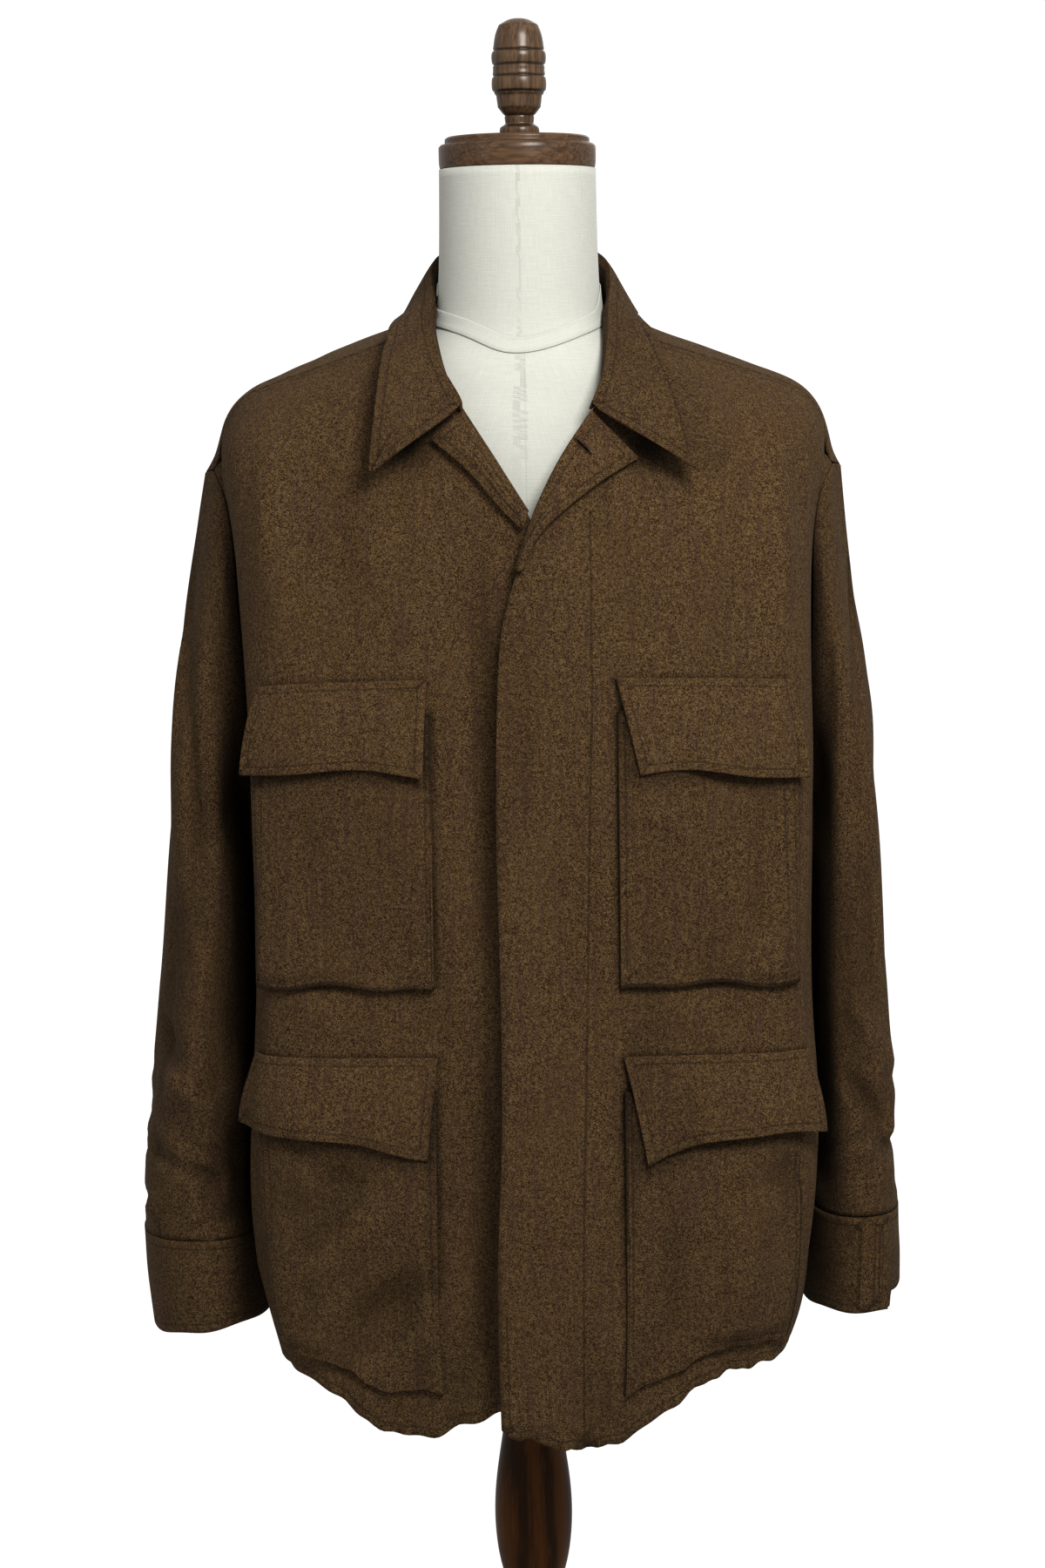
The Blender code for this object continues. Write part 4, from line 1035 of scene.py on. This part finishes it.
class JACKET_OT_lapels(bpy.types.Operator):
    """Makes the two turned-out lapels, and the worked buttonhole of the left one"""

    bl_idname = "jacket.lapels"
    bl_label = "Lapels"

    def execute(self, context):
        for side in SIDES:
            lapel = wool_piece("lapel_" + side, inset=EDGE_STITCH, coarser=1)
            if side == "left":
                self.buttonhole(context, lapel)
        return {"FINISHED"}

    def buttonhole(self, context, lapel):
        """A row of close stitches round a slot, laid on the lapel's face."""
        context.view_layer.update()
        tree = BVHTree.FromObject(lapel, context.evaluated_depsgraph_get())
        middle = Vector((BUTTONHOLE[0], -1.0, BUTTONHOLE[1]))
        along, aside = Vector((0.70, 0, -0.71)), Vector((0.71, 0, 0.70))
        edit = bmesh.new()
        rings = []
        for i in range(BUTTONHOLE_STITCHES):
            turn = 2 * math.pi * i / BUTTONHOLE_STITCHES
            long = math.copysign(abs(math.cos(turn)) ** 0.6, math.cos(turn)) * BUTTONHOLE_HALF_LENGTH
            place = middle + along * long + aside * (math.sin(turn) * BUTTONHOLE_HALF_WIDTH)
            hit, normal, _, _ = tree.ray_cast(place, Vector((0, 1, 0)))
            if hit is None:
                raise RuntimeError("the buttonhole lies off the lapel")
            radius = BUTTONHOLE_THREAD * (1.0 + 0.16 * math.cos(math.pi * i))
            across = (aside * math.sin(turn) + along * math.cos(turn)).normalized()
            ring = []
            for angle in (2 * math.pi * k / THREAD_SIDES for k in range(THREAD_SIDES)):
                out = normal * (0.0002 + radius * math.sin(angle)) + across * radius * math.cos(angle)
                ring.append(edit.verts.new(hit + out))
            rings.append(ring)
        join_rows(edit, rings, closed=True)
        threads = len(edit.verts)
        hit, normal, _, _ = tree.ray_cast(middle, Vector((0, 1, 0)))
        centre = edit.verts.new(hit + normal * 0.0003)
        slot = [edit.verts.new(ring[2].co.lerp(centre.co, 0.15)) for ring in rings]
        for here, after in zip(slot, slot[1:] + slot[:1]):
            edit.faces.new((here, after, centre))
        bmesh.ops.recalc_face_normals(edit, faces=edit.faces)
        mesh = mesh_from(edit, "buttonhole")
        points = points_of(mesh)
        # The crease share of 0.4 lays a little painted shade on the whole buttonhole.
        plain = {"seam": 0.02, "line": NO_STITCH, "second_line": NO_STITCH, "run": 0.0, "crease": 0.4}
        for name, value in plain.items():
            carry(mesh, name, np.full(len(points), value))
        # The threads take a darker tone. The slot's fan is painted nearly black, as painted shade inside the
        # slot.
        carry(mesh, "dye", np.where(np.arange(len(points)) < threads, 0.70, 0.10))
        carry(mesh, "cloth", points[:, [0, 2, 1]])
        carry(mesh, "rest", points)
        ready("buttonhole", mesh, None, finish_of("brushed_wool", wool, context.scene.jacket_wool))


def join_rows(edit, rows, closed):
    """Faces between each row of corners and the next, back to the first; closed rows are joined round too."""
    for i, row in enumerate(rows):
        after = rows[(i + 1) % len(rows)]
        for k in range(len(row) if closed else len(row) - 1):
            beside = (k + 1) % len(row)
            edit.faces.new((row[k], row[beside], after[beside], after[k]))


class JACKET_OT_pockets(bpy.types.Operator):
    """Makes the four bellows pockets, full and a little slack"""

    bl_idname = "jacket.pockets"
    bl_label = "Pockets"

    def execute(self, context):
        depth = context.scene.jacket_folds.depth
        for side, where in SEWN_PLACES:

            def shape(points, away):
                x, _, z = points.T
                low = bumped(z, z.min(), 0.050)
                inner = eased(away / 0.012)
                scallop = np.sin(x * 92 + (1.0 if side == "left" else 2.6)) * 0.0016
                scallop += np.sin(x * 47 + (0.3 if where == "hip" else 1.9)) * 0.0014
                move = body_move(points) + UP * (scallop * low)[:, None]
                swell = POCKET_FULL[where] * inner * (0.4 + 0.6 * np.sin(x * 33 + z * 21))
                return move + body_outward(points) * (swell * depth)[:, None]

            sides = upright_sides(where)
            wool_piece(f"pocket_{where}_{side}", shape, dye=0.96, inset=BELLOWS_LINE, stitched=sides)
        return {"FINISHED"}


def upright_sides(where):
    """A pocket's corners but for its lower edge and its top, which its flap hides."""
    low, top = POCKET_SIDES[where]

    def allowed(lines):
        return (lines[:, 2] > low) & (lines[:, 2] < top)

    return allowed


class JACKET_OT_flaps(bpy.types.Operator):
    """Makes the four pocket flaps, whose lower edges wave"""

    bl_idname = "jacket.flaps"
    bl_label = "Pocket flaps"

    def execute(self, context):
        flap_wave = context.scene.jacket_folds.flap_wave
        for side, where in SEWN_PLACES:

            def shape(points, away):
                x, _, z = points.T
                top, bottom = z.max(), z.min()
                hang = np.clip((top - z) / (top - bottom), 0, 1)
                phase = {"chest": 0.8, "hip": 2.1}[where] + (0.0 if side == "left" else 1.7)
                wave = np.sin(x * 88 + phase) * 0.6 + np.sin(x * 41 + 2 * phase) * 0.7
                outward = (wave * flap_wave + 0.0010) * hang**1.6
                drop = np.sin(x * 60 + phase) * 0.0016 * hang**2
                return body_move(points) + body_outward(points) * outward[:, None] + UP * drop[:, None]

            wool_piece(f"flap_{where}_{side}", shape, dye=1.02, inset=EDGE_STITCH)
        return {"FINISHED"}


class JACKET_OT_form(bpy.types.Operator):
    """Makes the linen torso and neck, and the tape sewn round the neck"""

    bl_idname = "jacket.form"
    bl_label = "Dress form"

    def execute(self, context):
        mesh = smoothed("form", 3, 60.0)
        points = points_of(mesh)
        carry(mesh, "seam", np.full(len(points), 0.05))
        below_tape = (points[:, 1] < 0) & (points[:, 2] < FORM_SEAM_TOP)
        carry(mesh, "line", np.where(below_tape, points[:, 0] - FORM_SEAM_X, NO_STITCH))
        carry(mesh, "cloth", cloth_place(points))
        cover = finish_of("plain_linen", linen, context.scene.jacket_form)
        self.tape(context, ready("form_cover", mesh, "form", cover), cover)
        return {"FINISHED"}

    def tape(self, context, form, cover):
        """A flat tape laid on the cover along its line, front and back."""
        context.view_layer.update()
        tree = BVHTree.FromObject(form, context.evaluated_depsgraph_get())
        stops = [(x, -1.0, z) for x, z in TAPE_LINE] + [(x, 1.0, z) for x, z in TAPE_BACK]
        hits = []
        for x, y, z in stops:
            hit = tree.ray_cast(Vector((x, y, z)), Vector((0, -y, 0)))[0]
            hits.append(np.array(hit if hit else tree.find_nearest(Vector((x, 0, z)))[0]))
        ring = closed_curve(np.array(hits), TAPE_POINTS)
        rows = []
        steps = np.linspace(-0.5, 0.5, TAPE_ROWS)
        for i, point in enumerate(ring):
            along = ring[(i + 1) % len(ring)] - ring[i - 1]
            along /= np.linalg.norm(along)
            near, normal, _, _ = tree.find_nearest(Vector(point))
            upward = np.cross(np.array(normal), along)
            upward /= np.linalg.norm(upward)
            if upward[2] < 0:
                upward = -upward
            row = []
            for step in steps:
                place = np.array(near) + upward * TAPE_WIDTH * step
                face, face_normal, _, _ = tree.find_nearest(Vector(place))
                row.append(np.array(face) + np.array(face_normal) * (TAPE_WALL + 0.0003))
            rows.append(row)
        edit = bmesh.new()
        corners = [[edit.verts.new(point) for point in row] for row in rows]
        join_rows(edit, corners, closed=False)
        bmesh.ops.recalc_face_normals(edit, faces=edit.faces)
        mesh = mesh_from(edit, "neck_tape")
        across = np.tile(steps * TAPE_WIDTH, len(rows))
        from_edge = TAPE_WIDTH / 2 - np.abs(across)
        carry(mesh, "seam", from_edge)
        carry(mesh, "line", from_edge - TAPE_STITCH)
        carry(mesh, "cloth", flat_place(np.repeat(np.arange(len(rows)), TAPE_ROWS) * TAPE_PACE, across))
        tape = ready("neck_tape", mesh, None, cover)
        wall = tape.modifiers.new("wall", "SOLIDIFY")
        wall.thickness = TAPE_WALL
        wall.offset = -1.0


def closed_curve(points, count):
    """A smooth closed line through the points."""
    steps = np.linalg.norm(np.roll(points, -1, axis=0) - points, axis=1)
    stops = np.concatenate([[0], np.cumsum(steps)])
    made = []
    for at in np.linspace(0, stops[-1], count, endpoint=False):
        i = int(np.searchsorted(stops, at, side="right")) - 1
        t = (at - stops[i]) / (stops[i + 1] - stops[i])
        a, b, c, d = (points[(i + k) % len(points)] for k in (-1, 0, 1, 2))
        square, cube = 2 * a - 5 * b + 4 * c - d, 3 * b - a - 3 * c + d
        made.append(0.5 * (2 * b + (c - a) * t + square * t**2 + cube * t**3))
    return np.array(made)


class JACKET_OT_stand(bpy.types.Operator):
    """Makes the turned walnut pieces: the neck cap, the finial, the pole and the base"""

    bl_idname = "jacket.stand"
    bl_label = "Turned stand"

    def execute(self, context):
        wood = finish_of("varnished_walnut", walnut, context.scene.jacket_form)
        for node, dye in STAND_TONES.items():
            mesh = smoothed(node, 3 if node == "finial" else 2, 28.0, 0.9)
            points = points_of(mesh)
            grooves = finial_grooves(points) if node == "finial" else np.zeros(len(points))
            middle = np.array([*points[:, :2].mean(axis=0), 0.0])
            set_points(mesh, points - (points - middle) * [1, 1, 0] * (grooves * GROOVE_SHARE)[:, None])
            away = along_corners(mesh, points)[0] if node != "base" else np.full(len(points), 0.05)
            carry(mesh, "seam", away)
            carry(mesh, "dye", np.full(len(points), dye))
            carry(mesh, "groove", grooves)
            carry(mesh, "cloth", points[:, [2, 1, 0]] if node in ("neck_cap", "base") else points)
            ready(node + "_wood", mesh, node, wood)
        return {"FINISHED"}


def finial_grooves(points):
    """1 in the grooves that are cut round the finial and 0 beside them."""
    away = points[:, 2] - np.array(FINIAL_GROOVES)[:, None]
    return np.exp(-((away / GROOVE_WIDTH) ** 2)).max(axis=0)


class JACKET_OT_stage(bpy.types.Operator):
    """Sets the pale floor, the soft lights and the camera"""

    bl_idname = "jacket.stage"
    bl_label = "Stage"

    def execute(self, context):
        looks = context.scene.jacket_stage
        edit = bmesh.new()
        corners = [(x * FLOOR_REACH, y * FLOOR_REACH, 0.0) for x, y in ((-1, -1), (1, -1), (1, 1), (-1, 1))]
        edit.faces.new([edit.verts.new(corner) for corner in corners])
        floor = linked("floor", mesh_from(edit, "floor"))
        floor.data.materials.append(floor_finish(looks))
        for name, place, target, size, power in LIGHTS:
            self.light(name, place, target, size, getattr(looks, power))
        world = bpy.data.worlds.new("white_surroundings")
        world.use_nodes = True
        sky = world.node_tree.nodes["Background"]
        sky.inputs["Color"].default_value = (1.0, 1.0, 1.0, 1.0)
        sky.inputs["Strength"].default_value = looks.sky
        context.scene.world = world
        context.scene.view_settings.view_transform = "Standard"
        context.scene.view_settings.gamma = looks.print_gamma
        self.camera(context.scene)
        return {"FINISHED"}

    def light(self, name, place, target, size, power):
        data = bpy.data.lights.new(name, "AREA")
        data.shape = "DISK"
        data.size = size
        data.energy = power
        made = linked(name, data)
        made.location = place
        made.rotation_euler = (Vector(target) - Vector(place)).to_track_quat("-Z", "Y").to_euler()

    def camera(self, scene):
        data = bpy.data.cameras.new("camera")
        data.lens = scene.jacket_stage.focal_length
        data.sensor_width = 36.0
        made = linked("camera", data)
        tilt = Matrix.Rotation(math.radians(90.0 - CAMERA_DIP), 4, "X")
        roll = Matrix.Rotation(math.radians(CAMERA_ROLL), 4, "Z")
        made.matrix_world = Matrix.Translation(CAMERA_PLACE) @ tilt @ roll
        scene.camera = made


class JACKET_PT_panel(bpy.types.Panel):
    """Lists the jacket's settings and its steps"""

    bl_label = "Battle dress jacket"
    bl_space_type = "VIEW_3D"
    bl_region_type = "UI"
    bl_category = "Jacket"

    def draw(self, context):
        for group in GROUPS:
            settings = getattr(context.scene, group)
            for name in settings.bl_rna.properties.keys():
                if name not in ("rna_type", "name"):
                    self.layout.prop(settings, name)
        for operator in OPERATORS:
            self.layout.operator(operator.bl_idname)


GROUPS = {
    "jacket_wool": JacketWool,
    "jacket_folds": JacketFolds,
    "jacket_form": JacketForm,
    "jacket_stage": JacketStage,
}
OPERATORS = (
    JACKET_OT_form,
    JACKET_OT_stand,
    JACKET_OT_back,
    JACKET_OT_fronts,
    JACKET_OT_sleeves,
    JACKET_OT_cuffs,
    JACKET_OT_pockets,
    JACKET_OT_flaps,
    JACKET_OT_collar,
    JACKET_OT_lapels,
    JACKET_OT_stage,
)


def register():
    for name, group in GROUPS.items():
        bpy.utils.register_class(group)
        setattr(bpy.types.Scene, name, PointerProperty(type=group))
    for shown in (*OPERATORS, JACKET_PT_panel):
        bpy.utils.register_class(shown)


def unregister():
    for shown in (JACKET_PT_panel, *reversed(OPERATORS)):
        bpy.utils.unregister_class(shown)
    for name, group in GROUPS.items():
        delattr(bpy.types.Scene, name)
        bpy.utils.unregister_class(group)


def main():
    register()
    for operator in OPERATORS:
        area, name = operator.bl_idname.split(".")
        getattr(getattr(bpy.ops, area), name)()


if __name__ == "__main__":
    main()
